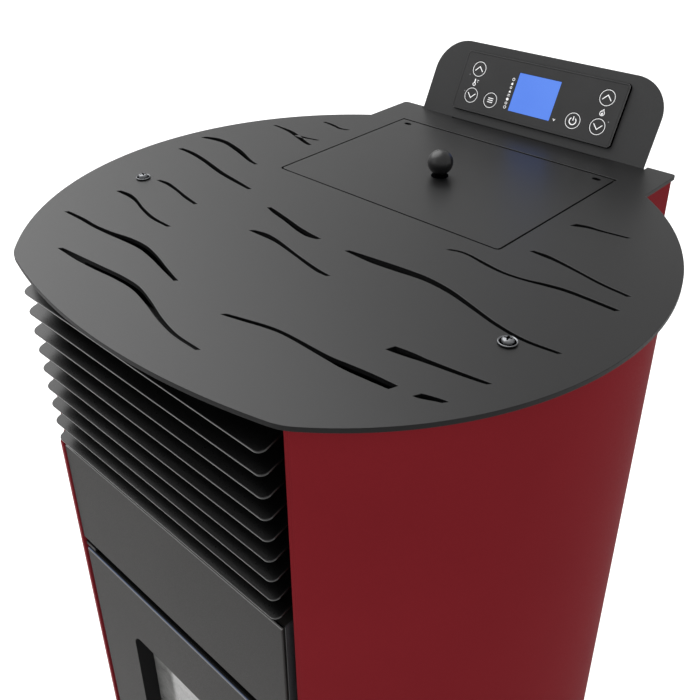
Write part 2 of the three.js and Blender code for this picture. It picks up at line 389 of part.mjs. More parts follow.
// ---------------------------------------------------------------- firebox
const FB = { x: 118, y0: -189.4, y1: -20, z0: 236, z1: 700, t: 4 };
{
  const { x, y0, y1, z0: a, z1: b, t } = FB;
  const outer = box(-x, x, y0, y1, a, b);
  const flange = box(-132, 132, y0, y0 + 4, 222, 712);
  const hollow = box(-x + t, x - t, y0 + 4, y1 - t, a + t, b - t);
  const mouth = box(-94, 94, y0 - 5, y0 + 5, a + 20, b - 22);
  const ashHole = box(-46, 46, -146, -64, a - 5, a + t + 5);
  const chute = box(-26, 26, y1 - t - 5, y1 + 5, 446, 506);
  const smoke = box(-84, -36, y1 - t - 5, y1 + 5, 264, 300);
  const igniter = bar(6.2, [0, y1 - 10, 266], [0, y1 + 5, 266], 16);
  piece('firebox', shell(solid(outer).add(solid(flange)).subtract(solid(hollow)).subtract(solid(mouth)).subtract(solid(ashHole)).subtract(solid(chute)).subtract(solid(smoke)).subtract(solid(igniter))), IRON);
  const liner = plateY([[-108, 330], [108, 330], [108, 690], [-108, 690]], y1 - t - 14, y1 - t - 0.4, [[[-28, 444], [-28, 508], [28, 508], [28, 444]]]);
  piece('firebox_liner', liner, finish(0xa39c8c, 0.95, 0));
  piece('smoke_baffle', plateX([[-150, 640], [-42, 664], [-42, 670], [-150, 646]], -112, 112), IRON);
  // Burn pot: a flanged cup that stands over the ash hole, with air slots in its floor.
  const pot = solid(box(-45, 45, -145, -65, 244, 312)).subtract(solid(box(-42, 42, -142, -68, 247, 320)))
    .add(solid(box(-58, 58, -158, -52, 240.3, 244.3))).subtract(solid(box(-38, 38, -138, -72, 235, 246)));
  let cup = pot;
  for (const y of [-124, -106, -88]) cup = cup.subtract(solid(box(-30, 30, y - 2, y + 2, 243, 250)));
  cup = cup.subtract(solid(bar(6.2, [0, -72, 266], [0, -60, 266], 16)));
  piece('burn_pot', shell(cup), IRON);
  piece('igniter', bar(5, [0, -51.4, 266], [0, 30, 266], 16), STEEL);
}

// ---------------------------------------------------------------- ash drawer
{
  const f = FRONT_FACE, zt = DOOR_BOTTOM - 6, zb = 62;
  let body = solid(box(-FRONT_HALF, FRONT_HALF, f, f + 2, zb, zt))
    .add(solid(plateX([[f, zt - 2], [f, zt], [f - 12, zt], [f - 14, zt - 3], [f - 14, zt - 11], [f - 12, zt - 11], [f - 12, zt - 3.4], [f - 10.6, zt - 2]].reverse(), -70, 70)))
    .add(solid(box(-112, 112, f + 1.5, -24, 72.4, 196)).subtract(solid(box(-110, 110, f + 2, -26, 74.4, 210))));
  body = body.subtract(solid(box(-110, 110, f + 2, -26, 74.4, 210)));
  piece('ash_drawer', shell(body), DARK);
}

// ---------------------------------------------------------------- fuel hopper and feed
const along = new THREE.Vector3(0, -1, 1).normalize();
const lowEnd = new THREE.Vector3(...AUGER_LOW);
const at = (d) => lowEnd.clone().addScaledVector(along, d).toArray();
{
  const top = z0 - 0.6;
  const outer = tower([[500, -34, 34, 132, 198], [590, -70, 70, 100, 232], [760, -130, 130, 44, 240], [top, -130, 130, 44, 240]]);
  const inner = tower([[490, -28, 28, 137, 193], [500, -28, 28, 137, 193], [590, -67, 67, 103, 229], [760, -127.4, 127.4, 46.6, 237.4], [top + 8, -127.4, 127.4, 46.6, 237.4]]);
  const rim = box(-137, 137, 37, 247, top - 2, top);
  const mouth = box(-121, 121, 54, 229, top - 5, top + 5);
  piece('hopper', shell(solid(outer).subtract(solid(inner)).add(solid(rim)).subtract(solid(mouth))), STEEL);

  const tube = solid(bar(AUGER_R, at(0), at(AUGER_LENGTH), 32));
  const collar = solid(box(-31, 31, 134, 196, 425, 499.6));
  const chuteOuter = solid(plateX([[-19.6, 443], [0, 443], [52, 500], [80, 560], [60, 600], [10, 600], [-19.6, 540]], -30, 30));
  const bore = solid(bar(AUGER_BORE, at(4), at(AUGER_LENGTH - 8), 32));
  const throat = solid(box(-28, 28, 137, 193, 408, 505));
  const chuteInner = solid(plateX([[-24, 446], [-2, 446], [44, 496], [66, 556], [56, 594], [14, 594], [-10, 545], [-24, 530]], -26, 26));
  const drive = solid(bar(9, at(-5), at(10), 20));
  piece('auger_tube', shell(tube.add(collar).add(chuteOuter).subtract(bore).subtract(throat).subtract(chuteInner).subtract(drive)), STEEL);

  // Auger screw: a helical flight on a shaft.
  const steps = 60, turns = 4.5, pts = [], idx = [];
  const start = 10, length = SCREW_PITCH * turns;
  for (let i = 0; i <= steps; i++) {
    const a = 2 * Math.PI * turns * i / steps, z = start + length * i / steps, c = Math.cos(a), s = Math.sin(a);
    for (const [r, h] of [[4, -1.5], [SCREW_FLIGHT, -1.2], [SCREW_FLIGHT, 1.2], [4, 1.5]]) pts.push(r * c, r * s, z + h);
    if (i) {
      const p = 4 * (i - 1), q = 4 * i;
      for (let k = 0; k < 4; k++) {
        const n = (k + 1) % 4;
        idx.push(p + k, p + n, q + n, p + k, q + n, q + k);
      }
    }
  }
  idx.push(0, 2, 1, 0, 3, 2);
  const e = 4 * steps;
  idx.push(e, e + 1, e + 2, e, e + 2, e + 3);
  const flight = new THREE.BufferGeometry();
  flight.setAttribute('position', new THREE.BufferAttribute(new Float32Array(pts), 3));
  flight.setIndex(idx);
  let helix = solid(flight);
  if (helix.volume() < 0) {
    flight.setIndex(idx.map((_, i) => idx[i - i % 3 + [0, 2, 1][i % 3]]));
    helix = solid(flight);
  }
  const shaft = solid(new THREE.CylinderGeometry(SCREW_SHAFT, SCREW_SHAFT, length + 32, 18).rotateX(Math.PI / 2).translate(0, 0, (length + 32) / 2 - 18));
  const screw = piece('auger_screw', shell(helix.add(shaft)), STEEL);
  const toAxis = new THREE.Quaternion().setFromUnitVectors(new THREE.Vector3(0, 0, 1), along);
  screw.quaternion.copy(toAxis);
  screw.position.copy(lowEnd);

  // Gearmotor on the lower end: gearbox with a bored output, and the motor can beside the axis.
  const local = (g) => g.applyQuaternion(toAxis).translate(lowEnd.x, lowEnd.y, lowEnd.z);
  const gearbox = box(-32, 32, -32, 32, -46, -0.4);
  const can = bar(24, [0, 0, -92], [0, 0, -40], 28);
  const output = bar(7.6, [0, 0, -20], [0, 0, 4], 18);
  piece('auger_gearmotor', local(shell(solid(gearbox).add(solid(can)).subtract(solid(output)))), finish(0x6d6f70, 0.5, 0.6));
}

// ---------------------------------------------------------------- exhaust, intake and room fan
{
  const { x, z, r, wall, end } = FLUE;
  const can = solid(bar(72, [x, 130, z], [x, 190, z], 28)).subtract(solid(bar(69, [x, 133, z], [x, 187, z], 28)))
    .add(solid(bar(30, [x, 84, z], [x, 131, z], 24)))
    .subtract(solid(bar(6.6, [x, 110, z], [x, 140, z], 16)))
    .subtract(solid(bar(r - wall, [x, 180, z], [x, 195, z], 24)));
  // Smoke channel from the firebox's back wall, over the fan and down into it.
  const duct = solid(box(x - 26, x + 26, 138, 182, z + 60, 302)).add(solid(box(x - 26, x + 26, FB.y1 + 0.4, 182, 262, 302)))
    .subtract(solid(box(x - 24, x + 24, 140, 180, z + 50, 300))).subtract(solid(box(x - 24, x + 24, FB.y1 - 5, 180, 264, 300)));
  const opened = can.subtract(solid(box(x - 24, x + 24, 140, 180, z + 55, z + 80))).add(duct).subtract(solid(bar(69, [x, 133, z], [x, 187, z], 28)));
  piece('exhaust_fan_housing', shell(opened), finish(0x85878a, 0.5, 0.7));
  const star = [];
  for (let i = 0; i < 12; i++) {
    const a = 30 * i;
    star.push([22 * Math.cos(rad(a)), 22 * Math.sin(rad(a))], [60 * Math.cos(rad(a + 6)), 60 * Math.sin(rad(a + 6))],
      [60 * Math.cos(rad(a + 9)), 60 * Math.sin(rad(a + 9))], [22 * Math.cos(rad(a + 10)), 22 * Math.sin(rad(a + 10))]);
  }
  const blades = plateY(star, 146, 176).translate(x, 0, z);
  piece('exhaust_impeller', join(blades, bar(62, [x, 143, z], [x, 147, z], 28), bar(6, [x, 112, z], [x, 160, z], 16)), STEEL);
  const bead = bar(r + 2, [x, 296, z], [x, 300, z], 24);
  piece('flue_outlet', shell(solid(bar(r, [x, 190.3, z], [x, end, z], 24)).add(solid(bead)).add(solid(bar(r + 8, [x, 190.3, z], [x, 193, z], 24))).subtract(solid(bar(r - wall, [x, 180, z], [x, end + 5, z], 24)))), IRON);
}
{
  const { x, z, r, wall, end } = INTAKE;
  piece('air_intake_pipe', shell(solid(bar(r, [x, 200, z], [x, end, z], 28)).subtract(solid(bar(r - wall, [x, 190, z], [x, end + 5, z], 28)))), STEEL);
}
{
  // Cross-flow room fan under the hopper: open-sided housing with end plates, rotor along X.
  const cy = 75, cz = 108, x0 = 24, x1 = 150;
  let body = solid(box(x0, x1, cy - 38, cy + 38, cz - 38, cz + 38))
    .subtract(solid(bar(34, [x0 + 3, cy, cz], [x1 - 3, cy, cz], 28)))
    .subtract(solid(box(x0 + 3, x1 - 3, cy - 60, cy, cz - 6, cz + 26)))
    .subtract(solid(box(x0 + 3, x1 - 3, cy, cy + 60, cz - 26, cz + 6)));
  body = body.add(solid(bar(26, [x1 - 1, cy, cz], [x1 + 34, cy, cz], 24))).subtract(solid(bar(4.6, [x0 + 0.5, cy, cz], [x1 + 12, cy, cz], 16)));
  piece('room_fan_housing', shell(body), STEEL);
  const star = [];
  for (let i = 0; i < 14; i++) {
    const a = 360 / 14 * i;
    star.push([cy + 20 * Math.cos(rad(a)), cz + 20 * Math.sin(rad(a))], [cy + 29 * Math.cos(rad(a + 9)), cz + 29 * Math.sin(rad(a + 9))],
      [cy + 29 * Math.cos(rad(a + 13)), cz + 29 * Math.sin(rad(a + 13))], [cy + 20 * Math.cos(rad(a + 7)), cz + 20 * Math.sin(rad(a + 7))]);
  }
  piece('room_fan_rotor', join(plateX(star, x0 + 8, x1 - 8), bar(30, [x0 + 7, cy, cz], [x0 + 10, cy, cz], 28), bar(30, [x1 - 10, cy, cz], [x1 - 7, cy, cz], 28),
    bar(4, [x0 + 1, cy, cz], [x1 + 10, cy, cz], 14)), finish(0x9a9c9e, 0.4, 0.8));
}

// ---------------------------------------------------------------- mains inlet and its switch
{
  const x0 = 82, x1 = 130, zc = 84;
  const flange = plateY(roundRect(x0 - 1, x1 + 1, zc - 14.5, zc + 14.5, 2, 2), 279.2, 281);
  let body = solid(flange).add(solid(box(x0 + 2, x1 - 2, 250, 280, zc - 12.5, zc + 12.5)));
  body = body.subtract(solid(box(x0 + 5, x0 + 27, 262, 290, zc - 8, zc + 8))).subtract(solid(box(x0 + 30.4, x1 - 4, 262, 290, zc - 10.4, zc + 10.4)));
  for (const [dx, dz] of [[0, 2.6], [-6, -2.2], [6, -2.2]]) body = body.add(solid(box(x0 + 15 + dx, x0 + 17 + dx, 261, 276, zc + dz - 2, zc + dz + 2)));
  piece('mains_inlet', shell(body), PLASTIC);
  const rocker = [[-8, -5], [-3, -8.6], [4.6, -9.2], [3.4, 0], [4.6, 9.2], [-3, 8.6], [-8, 5]].map(([y, z]) => [
    277 + y * Math.cos(rad(8)) - z * Math.sin(rad(8)), zc + y * Math.sin(rad(8)) + z * Math.cos(rad(8))]);
  piece('mains_switch', plateX(rocker, x0 + 30.9, x1 - 4.5), PLASTIC);
}

// ---------------------------------------------------------------- placing
const bounds = new THREE.Box3().setFromObject(stove, true);
stove.position.set(0, -(bounds.min.y + bounds.max.y) / 2, 0);
const object = new THREE.Group();
object.add(stove);
export default object;
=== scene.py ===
import json
import math

import bmesh
import bpy
from mathutils import Matrix, Vector

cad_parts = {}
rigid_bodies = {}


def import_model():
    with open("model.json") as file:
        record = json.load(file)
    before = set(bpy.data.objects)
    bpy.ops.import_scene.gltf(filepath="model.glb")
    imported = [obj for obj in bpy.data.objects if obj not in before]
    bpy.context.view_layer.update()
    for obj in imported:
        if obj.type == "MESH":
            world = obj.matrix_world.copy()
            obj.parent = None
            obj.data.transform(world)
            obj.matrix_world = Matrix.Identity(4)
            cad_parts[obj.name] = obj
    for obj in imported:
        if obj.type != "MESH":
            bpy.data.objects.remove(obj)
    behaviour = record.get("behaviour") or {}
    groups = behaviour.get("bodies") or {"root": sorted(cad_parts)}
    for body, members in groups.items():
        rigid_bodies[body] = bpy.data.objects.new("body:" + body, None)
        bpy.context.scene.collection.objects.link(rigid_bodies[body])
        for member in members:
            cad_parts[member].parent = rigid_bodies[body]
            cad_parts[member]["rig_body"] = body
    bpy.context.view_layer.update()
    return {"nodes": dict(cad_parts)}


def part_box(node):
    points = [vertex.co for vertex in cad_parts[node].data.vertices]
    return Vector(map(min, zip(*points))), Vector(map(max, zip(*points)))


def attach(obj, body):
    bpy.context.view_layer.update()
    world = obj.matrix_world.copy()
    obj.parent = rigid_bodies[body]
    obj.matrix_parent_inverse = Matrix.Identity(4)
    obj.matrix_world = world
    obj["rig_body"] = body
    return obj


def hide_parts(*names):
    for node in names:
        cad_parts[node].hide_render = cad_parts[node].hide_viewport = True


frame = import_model()

# ------------------------------------------------------------------ frame of reference
# Design coordinates in millimetres: the axis of the round body at X = Y = 0, the floor at Z = 0.
TOP_Z = 1040.0
SHIFT_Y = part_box("lid")[1].y - 0.2342
PLACE = Matrix.Translation((0, SHIFT_Y, 0)) @ Matrix.Scale(0.001, 4)
LEAN = Matrix.Translation((0, 275, TOP_Z)) @ Matrix.Rotation(math.radians(64), 4, "X")


# ------------------------------------------------------------------ camera
def make_camera():
    data = bpy.data.cameras.new("camera")
    data.sensor_width = 36.0
    data.lens = 886.63 / 700 * 36.0
    data.shift_x, data.shift_y = 0.06, -0.10
    data.clip_start, data.clip_end = 0.02, 100
    cam = bpy.data.objects.new("camera", data)
    right = Vector((0.70267, 0.71096, -0.02797))
    down = Vector((0.33756, -0.36771, -0.86651))
    ahead = Vector((-0.62634, 0.59944, -0.49837))
    turn = Matrix((right, -down, -ahead)).transposed().to_4x4()
    cam.matrix_world = Matrix.Translation((0.47184, -0.49359 + SHIFT_Y, 1.37626)) @ turn
    bpy.context.scene.collection.objects.link(cam)
    bpy.context.scene.camera = cam


make_camera()


# ------------------------------------------------------------------ materials
def srgb(r, g, b):
    return tuple(((c / 255) / 12.92) if c / 255 <= 0.04045 else ((c / 255 + 0.055) / 1.055) ** 2.4 for c in (r, g, b))


class Shader:
    """A principled material with a few shorthand calls for its nodes."""

    def __init__(self, name, **sockets):
        self.mat = bpy.data.materials.new(name)
        self.mat.use_nodes = True
        self.tree = self.mat.node_tree
        self.bsdf = next(n for n in self.tree.nodes if n.type == "BSDF_PRINCIPLED")
        for k, v in sockets.items():
            self.bsdf.inputs[k.replace("_", " ")].default_value = v
        self.coords = self.tree.nodes.new("ShaderNodeTexCoord").outputs["Object"]

    def link(self, a, b):
        self.tree.links.new(a, b)

    def stretch(self, scale):
        n = self.tree.nodes.new("ShaderNodeMapping")
        n.inputs["Scale"].default_value = scale
        self.link(self.coords, n.inputs["Vector"])
        return n.outputs["Vector"]

    def noise(self, scale, detail=2.0, rough=0.5, vector=None, distortion=0.0):
        n = self.tree.nodes.new("ShaderNodeTexNoise")
        n.inputs["Scale"].default_value = scale
        n.inputs["Detail"].default_value = detail
        n.inputs["Roughness"].default_value = rough
        n.inputs["Distortion"].default_value = distortion
        self.link(vector or self.coords, n.inputs["Vector"])
        return n.outputs["Fac"]

    def voronoi(self, scale, vector=None, feature="F1", output="Distance"):
        n = self.tree.nodes.new("ShaderNodeTexVoronoi")
        n.feature = feature
        n.inputs["Scale"].default_value = scale
        self.link(vector or self.coords, n.inputs["Vector"])
        return n.outputs[output]

    def ramp(self, fac, stops):
        n = self.tree.nodes.new("ShaderNodeValToRGB")
        while len(n.color_ramp.elements) < len(stops):
            n.color_ramp.elements.new(0.5)
        for e, (p, c) in zip(n.color_ramp.elements, stops):
            e.position = p
            e.color = (*c, 1) if len(c) == 3 else c
        self.link(fac, n.inputs["Fac"])
        return n.outputs["Color"]

    def mix(self, fac, a, b, mode="MIX"):
        n = self.tree.nodes.new("ShaderNodeMix")
        n.data_type = "RGBA"
        n.blend_type = mode
        for value, socket in ((fac, n.inputs[0]), (a, n.inputs[6]), (b, n.inputs[7])):
            if isinstance(value, (int, float)):
                socket.default_value = value
            elif isinstance(value, tuple):
                socket.default_value = (*value, 1)
            else:
                self.link(value, socket)
        return n.outputs[2]

    def span(self, fac, lo, hi, a=0.0, b=1.0):
        n = self.tree.nodes.new("ShaderNodeMapRange")
        for k, v in (("From Min", a), ("From Max", b), ("To Min", lo), ("To Max", hi)):
            n.inputs[k].default_value = v
        self.link(fac, n.inputs["Value"])
        return n.outputs["Result"]

    def colour(self, socket):
        self.link(socket, self.bsdf.inputs["Base Color"])

    def rough(self, socket):
        self.link(socket, self.bsdf.inputs["Roughness"])

    def bump(self, height, strength, distance, under=None):
        n = self.tree.nodes.new("ShaderNodeBump")
        n.inputs["Strength"].default_value = strength
        n.inputs["Distance"].default_value = distance
        self.link(height, n.inputs["Height"])
        if under is not None:
            self.link(under, n.inputs["Normal"])
        self.link(n.outputs["Normal"], self.bsdf.inputs["Normal"])
        return n.outputs["Normal"]


def tint(c, k):
    return tuple(x * k for x in c)


def powder(name, base, lo, hi, spec=0.32, grain=1100, lift=0.22):
    """Fine-textured powder coat: a granular skin of about a millimetre, with faint broad clouds of tone."""
    s = Shader(name, Specular_IOR_Level=spec)
    cloud = s.noise(7, 3, 0.55)
    fine = s.noise(grain, 2, 0.6)
    speck = s.noise(grain * 2.3, 1, 0.5)
    body = s.ramp(cloud, [(0.3, tint(base, 0.9)), (0.7, tint(base, 1.1))])
    spots = s.ramp(speck, [(0.30, (0.72, 0.72, 0.72)), (0.52, (1, 1, 1)), (0.74, (1.45, 1.45, 1.45))])
    s.colour(s.mix(0.8, body, spots, "MULTIPLY"))
    s.rough(s.span(fine, lo, hi, 0.3, 0.7))
    s.bump(fine, lift, 0.00016)
    return s.mat


def paint(name, base, lo=0.34, hi=0.42, spec=0.4):
    """Smooth baked paint on rolled sheet: fine orange peel and a slow drift of tone."""
    s = Shader(name, Specular_IOR_Level=spec)
    cloud = s.noise(5, 3, 0.5)
    peel = s.noise(520, 1.5, 0.45)
    fine = s.noise(1900, 1, 0.5)
    body = s.ramp(cloud, [(0.32, tint(base, 0.95)), (0.68, tint(base, 1.05))])
    spots = s.ramp(fine, [(0.3, (0.9, 0.9, 0.9)), (0.7, (1.1, 1.1, 1.1))])
    s.colour(s.mix(0.8, body, spots, "MULTIPLY"))
    s.rough(s.span(peel, lo, hi, 0.3, 0.7))
    s.bump(peel, 0.12, 0.00012)
    return s.mat


def galvanised(name, base=(0.42, 0.43, 0.45)):
    s = Shader(name, Metallic=1.0)
    spangle = s.voronoi(95, output="Color")
    grey = s.tree.nodes.new("ShaderNodeRGBToBW")
    s.link(spangle, grey.inputs[0])
    v = grey.outputs[0]
    fine = s.noise(420, 3, 0.6)
    tone = s.ramp(v, [(0.1, tint(base, 0.78)), (0.9, tint(base, 1.22))])
    dust = s.ramp(s.noise(24, 4, 0.6), [(0.35, (0.82, 0.81, 0.8)), (0.7, (1.05, 1.05, 1.05))])
    s.colour(s.mix(0.8, tone, dust, "MULTIPLY"))
    s.rough(s.span(fine, 0.34, 0.52, 0.3, 0.7))
    s.bump(fine, 0.08, 0.0002)
    return s.mat


def metal(name, base, lo, hi, brushed=None):
    """Plated or brushed metal. brushed gives the direction that the fine lines run across."""
    s = Shader(name, Metallic=1.0)
    vector = s.stretch(brushed) if brushed else None
    lines = s.noise(900, 3, 0.6, vector=vector)
    cloud = s.noise(40, 3, 0.6)
    s.colour(s.ramp(cloud, [(0.3, tint(base, 0.85)), (0.7, tint(base, 1.12))]))
    s.rough(s.span(lines, lo, hi, 0.3, 0.7))
    s.bump(lines, 0.06, 0.0001)
    return s.mat


def iron(name, base=(0.03, 0.03, 0.031)):
    s = Shader(name, Metallic=0.35, Specular_IOR_Level=0.3)
    cloud = s.noise(26, 5, 0.65, distortion=0.4)
    grit = s.noise(650, 3, 0.7)
    s.colour(s.ramp(cloud, [(0.25, tint(base, 0.6)), (0.55, base), (0.85, (0.075, 0.066, 0.058))]))
    s.rough(s.span(grit, 0.66, 0.9, 0.25, 0.75))
    s.bump(grit, 0.35, 0.0003)
    return s.mat


def plastic(name, base, lo, hi, grain=1500, lift=0.08, spec=0.45):
    s = Shader(name, Specular_IOR_Level=spec)
    fine = s.noise(grain, 2, 0.5)
    cloud = s.noise(30, 2, 0.5)
    s.colour(s.ramp(cloud, [(0.3, tint(base, 0.92)), (0.7, tint(base, 1.08))]))
    s.rough(s.span(fine, lo, hi, 0.3, 0.7))
    s.bump(fine, lift, 0.0001)
    return s.mat


def liner_board(name):
    s = Shader(name, Specular_IOR_Level=0.2)
    flakes = s.voronoi(260)
    cloud = s.noise(18, 5, 0.7, distortion=0.6)
    soot = s.ramp(cloud, [(0.3, (0.05, 0.047, 0.043)), (0.55, (0.26, 0.245, 0.22)), (0.8, (0.44, 0.42, 0.38))])
    grain = s.ramp(flakes, [(0.0, (0.75, 0.74, 0.72)), (0.6, (1.1, 1.1, 1.1))])
    s.colour(s.mix(0.85, soot, grain, "MULTIPLY"))
    s.rough(s.span(flakes, 0.82, 0.96, 0.0, 0.6))
    s.bump(flakes, 0.5, 0.0006)
    return s.mat


def rope(name):
    s = Shader(name, Specular_IOR_Level=0.2)
    wave = s.tree.nodes.new("ShaderNodeTexWave")
    wave.wave_type = "BANDS"
    wave.bands_direction = "DIAGONAL"
    wave.inputs["Scale"].default_value = 160
    wave.inputs["Distortion"].default_value = 2.5
    wave.inputs["Detail"].default_value = 2
    s.link(s.coords, wave.inputs["Vector"])
    fibre = s.noise(900, 3, 0.7)
    s.colour(s.ramp(wave.outputs["Fac"], [(0.1, (0.06, 0.055, 0.05)), (0.8, (0.24, 0.225, 0.2))]))
    s.rough(s.span(fibre, 0.85, 1.0, 0.3, 0.7))
    s.bump(wave.outputs["Fac"], 0.7, 0.0012)
    return s.mat


def ash_glass(name):
    """Fire-resistant pane with a thin mottled film of ash behind it."""
    s = Shader(name, IOR=1.5, Specular_IOR_Level=0.55)
    veil = s.noise(34, 5, 0.65, distortion=0.5)
    dots = s.noise(420, 3, 0.7)
    tone = s.ramp(veil, [(0.28, (0.135, 0.135, 0.132)), (0.5, (0.19, 0.19, 0.186)), (0.78, (0.25, 0.248, 0.24))])
    s.colour(s.mix(0.4, tone, s.ramp(dots, [(0.3, (0.75, 0.75, 0.75)), (0.7, (1.2, 1.2, 1.2))]), "MULTIPLY"))
    s.link(s.span(veil, 0.88, 0.99, 0.3, 0.72), s.bsdf.inputs["Alpha"])
    s.rough(s.span(dots, 0.06, 0.16, 0.3, 0.7))
    return s.mat


def painted_door_edge(name):
    """Rounded upper edge of the door, toned by height: a painted highlight at the face, a painted blue-grey reflection
    over the turn, painted shade on top.
    """
    s = Shader(name, Specular_IOR_Level=0.08)
    parts = s.tree.nodes.new("ShaderNodeSeparateXYZ")
    s.link(s.coords, parts.inputs[0])
    height = s.span(parts.outputs["Z"], 0.0, 1.0, 0.7118, 0.7152)
    grain = s.noise(1500, 2, 0.5)
    tone = s.ramp(height, [(0.0, (0.04, 0.039, 0.0375)), (0.17, (0.2, 0.196, 0.188)), (0.34, (0.19, 0.19, 0.19)), (0.46, (0.085, 0.115, 0.19)), (0.58, (0.03, 0.042, 0.075)), (0.66, (0.001, 0.001, 0.001))])
    s.colour(s.mix(0.5, tone, s.ramp(grain, [(0.3, (0.85, 0.85, 0.85)), (0.7, (1.15, 1.15, 1.15))]), "MULTIPLY"))
    s.rough(s.span(grain, 0.5, 0.62, 0.3, 0.7))
    return s.mat


def circuit(name):
    """Green circuit board with fine paler traces and pads."""
    s = Shader(name, Specular_IOR_Level=0.4)
    traces = s.voronoi(170, feature="DISTANCE_TO_EDGE")
    pads = s.voronoi(420)
    lines = s.ramp(traces, [(0.0, (0.02, 0.11, 0.05)), (0.06, (0.02, 0.11, 0.05)), (0.1, (0.006, 0.045, 0.02))])
    s.colour(s.mix(0.9, lines, s.ramp(pads, [(0.0, (2.2, 2.0, 1.4)), (0.14, (1.9, 1.8, 1.3)), (0.2, (1, 1, 1))]), "MULTIPLY"))
    s.rough(s.span(pads, 0.3, 0.45, 0.0, 0.5))
    s.bump(traces, 0.2, 0.0001)
    return s.mat


def display(name):
    """Backlit blue window: an even field with a faint dot grid."""
    s = Shader(name, Roughness=0.5, Emission_Strength=0.86, Specular_IOR_Level=0.05)
    s.bsdf.inputs["Base Color"].default_value = (0.01, 0.02, 0.05, 1)
    grid = s.noise(2600, 0, 0.5)
    slow = s.noise(16, 1, 0.5)
    a = s.ramp(slow, [(0.3, srgb(98, 143, 250)), (0.7, srgb(104, 149, 254))])
    b = s.ramp(grid, [(0.3, (0.96, 0.96, 0.97)), (0.7, (1.03, 1.03, 1.02))])
    s.link(s.mix(0.7, a, b, "MULTIPLY"), s.bsdf.inputs["Emission Color"])
    return s.mat


BLACK = powder("black_powder_coat", (0.0048, 0.0048, 0.005), 0.34, 0.44, spec=0.375)
# A darker copy of the black coat for the fins: painted shade between the fins.
FIN_SHADE = powder("fin_powder_coat_painted_shade", (0.0014, 0.0014, 0.0015), 0.27, 0.31, spec=0.34, lift=0.04)
# A darker, duller copy of the black coat: painted shade on edges and slot walls.
RIM_SHADE = powder("rim_painted_shade", (0.0035, 0.0035, 0.0038), 0.5, 0.6, spec=0.14)
CHARCOAL = powder("charcoal_powder_coat", (0.0192, 0.0184, 0.0174), 0.5, 0.62, spec=0.13, grain=1300)
CASE = powder("bracket_powder_coat", (0.0345, 0.0348, 0.0354), 0.48, 0.6, spec=0.2, grain=1300)
# A light paint for the lit edges: painted highlight.
LIT_EDGE = paint("lit_edge_painted_highlight", (0.15, 0.15, 0.148), 0.3, 0.38, spec=0.5)
# A lighter copy of the charcoal coat for the lit side return: painted light.
LIT_RETURN = powder("return_painted_light", (0.03, 0.031, 0.034), 0.3, 0.4, spec=0.5)
# Dark primer for the hinges, also used as painted shade inside the body.
PRIMER_AND_SHADE = powder("dark_primer_and_painted_shade", (0.006, 0.006, 0.0066), 0.5, 0.62, spec=0.2)
RED = paint("dark_red_paint", (0.15, 0.0113, 0.0152), 0.5, 0.6, spec=0.004)
# A lighter copy of the red paint for the front fold: painted highlight.
RED_LIT_EDGE = paint("red_edge_painted_highlight", (0.185, 0.0158, 0.0215), 0.4, 0.5, spec=0.04)
GALV = galvanised("galvanised_sheet")
ZINC = metal("zinc_plate", (0.2, 0.205, 0.214), 0.36, 0.46)
STEEL = metal("satin_steel", (0.46, 0.46, 0.47), 0.26, 0.4, brushed=(0.2, 1, 1))
CAST = metal("cast_alloy", (0.28, 0.285, 0.29), 0.42, 0.62)
IRON = iron("black_iron")
FILM = plastic("panel_film", (0.036, 0.036, 0.0366), 0.36, 0.46, grain=1700, spec=0.16)
SHELL = plastic("black_plastic", (0.012, 0.012, 0.0125), 0.38, 0.5)
# Near-black for grooves and recesses: painted shade.
SHADE_BLACK = plastic("painted_shade_black", (0.0015, 0.0015, 0.0017), 0.5, 0.62, lift=0.05, spec=0.1)
# Matt black for the lid marks, also used as painted shade and painted shadow at the screws, knob and control module.
BLACK_AND_SHADE = plastic("matt_black_and_painted_shade", (0.0007, 0.0007, 0.0008), 0.82, 0.94, lift=0.02, spec=0.01)
BOARD = circuit("circuit_board")
KNOB = plastic("knob_resin", (0.006, 0.006, 0.0065), 0.34, 0.42, grain=900, lift=0.05, spec=0.5)
GLOW_INK = plastic("white_print_painted_glow", (0.9, 0.9, 0.91), 0.5, 0.6)
# The white print glows a little: painted light.
next(n for n in GLOW_INK.node_tree.nodes if n.type == "BSDF_PRINCIPLED").inputs["Emission Color"].default_value = (1, 1, 1, 1)
next(n for n in GLOW_INK.node_tree.nodes if n.type == "BSDF_PRINCIPLED").inputs["Emission Strength"].default_value = 0.22
DARK_INK = plastic("grey_print", (0.3, 0.3, 0.31), 0.5, 0.6)
LINER = liner_board("vermiculite_board")
ROPE = rope("sealing_rope")
PANE = ash_glass("ash_glass")
DOOR_LIT_EDGE = painted_door_edge("door_edge_painted_light")
LCD = display("display_blue")


# ------------------------------------------------------------------ mesh helpers
def body_of(node):
    return frame["nodes"][node]["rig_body"]


def new_object(name, mesh, material, body):
    settle(mesh)
    obj = bpy.data.objects.new(name, mesh)
    mesh.materials.clear()
    mesh.materials.append(material)
    bpy.context.scene.collection.objects.link(obj)
    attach(obj, body)
    return obj


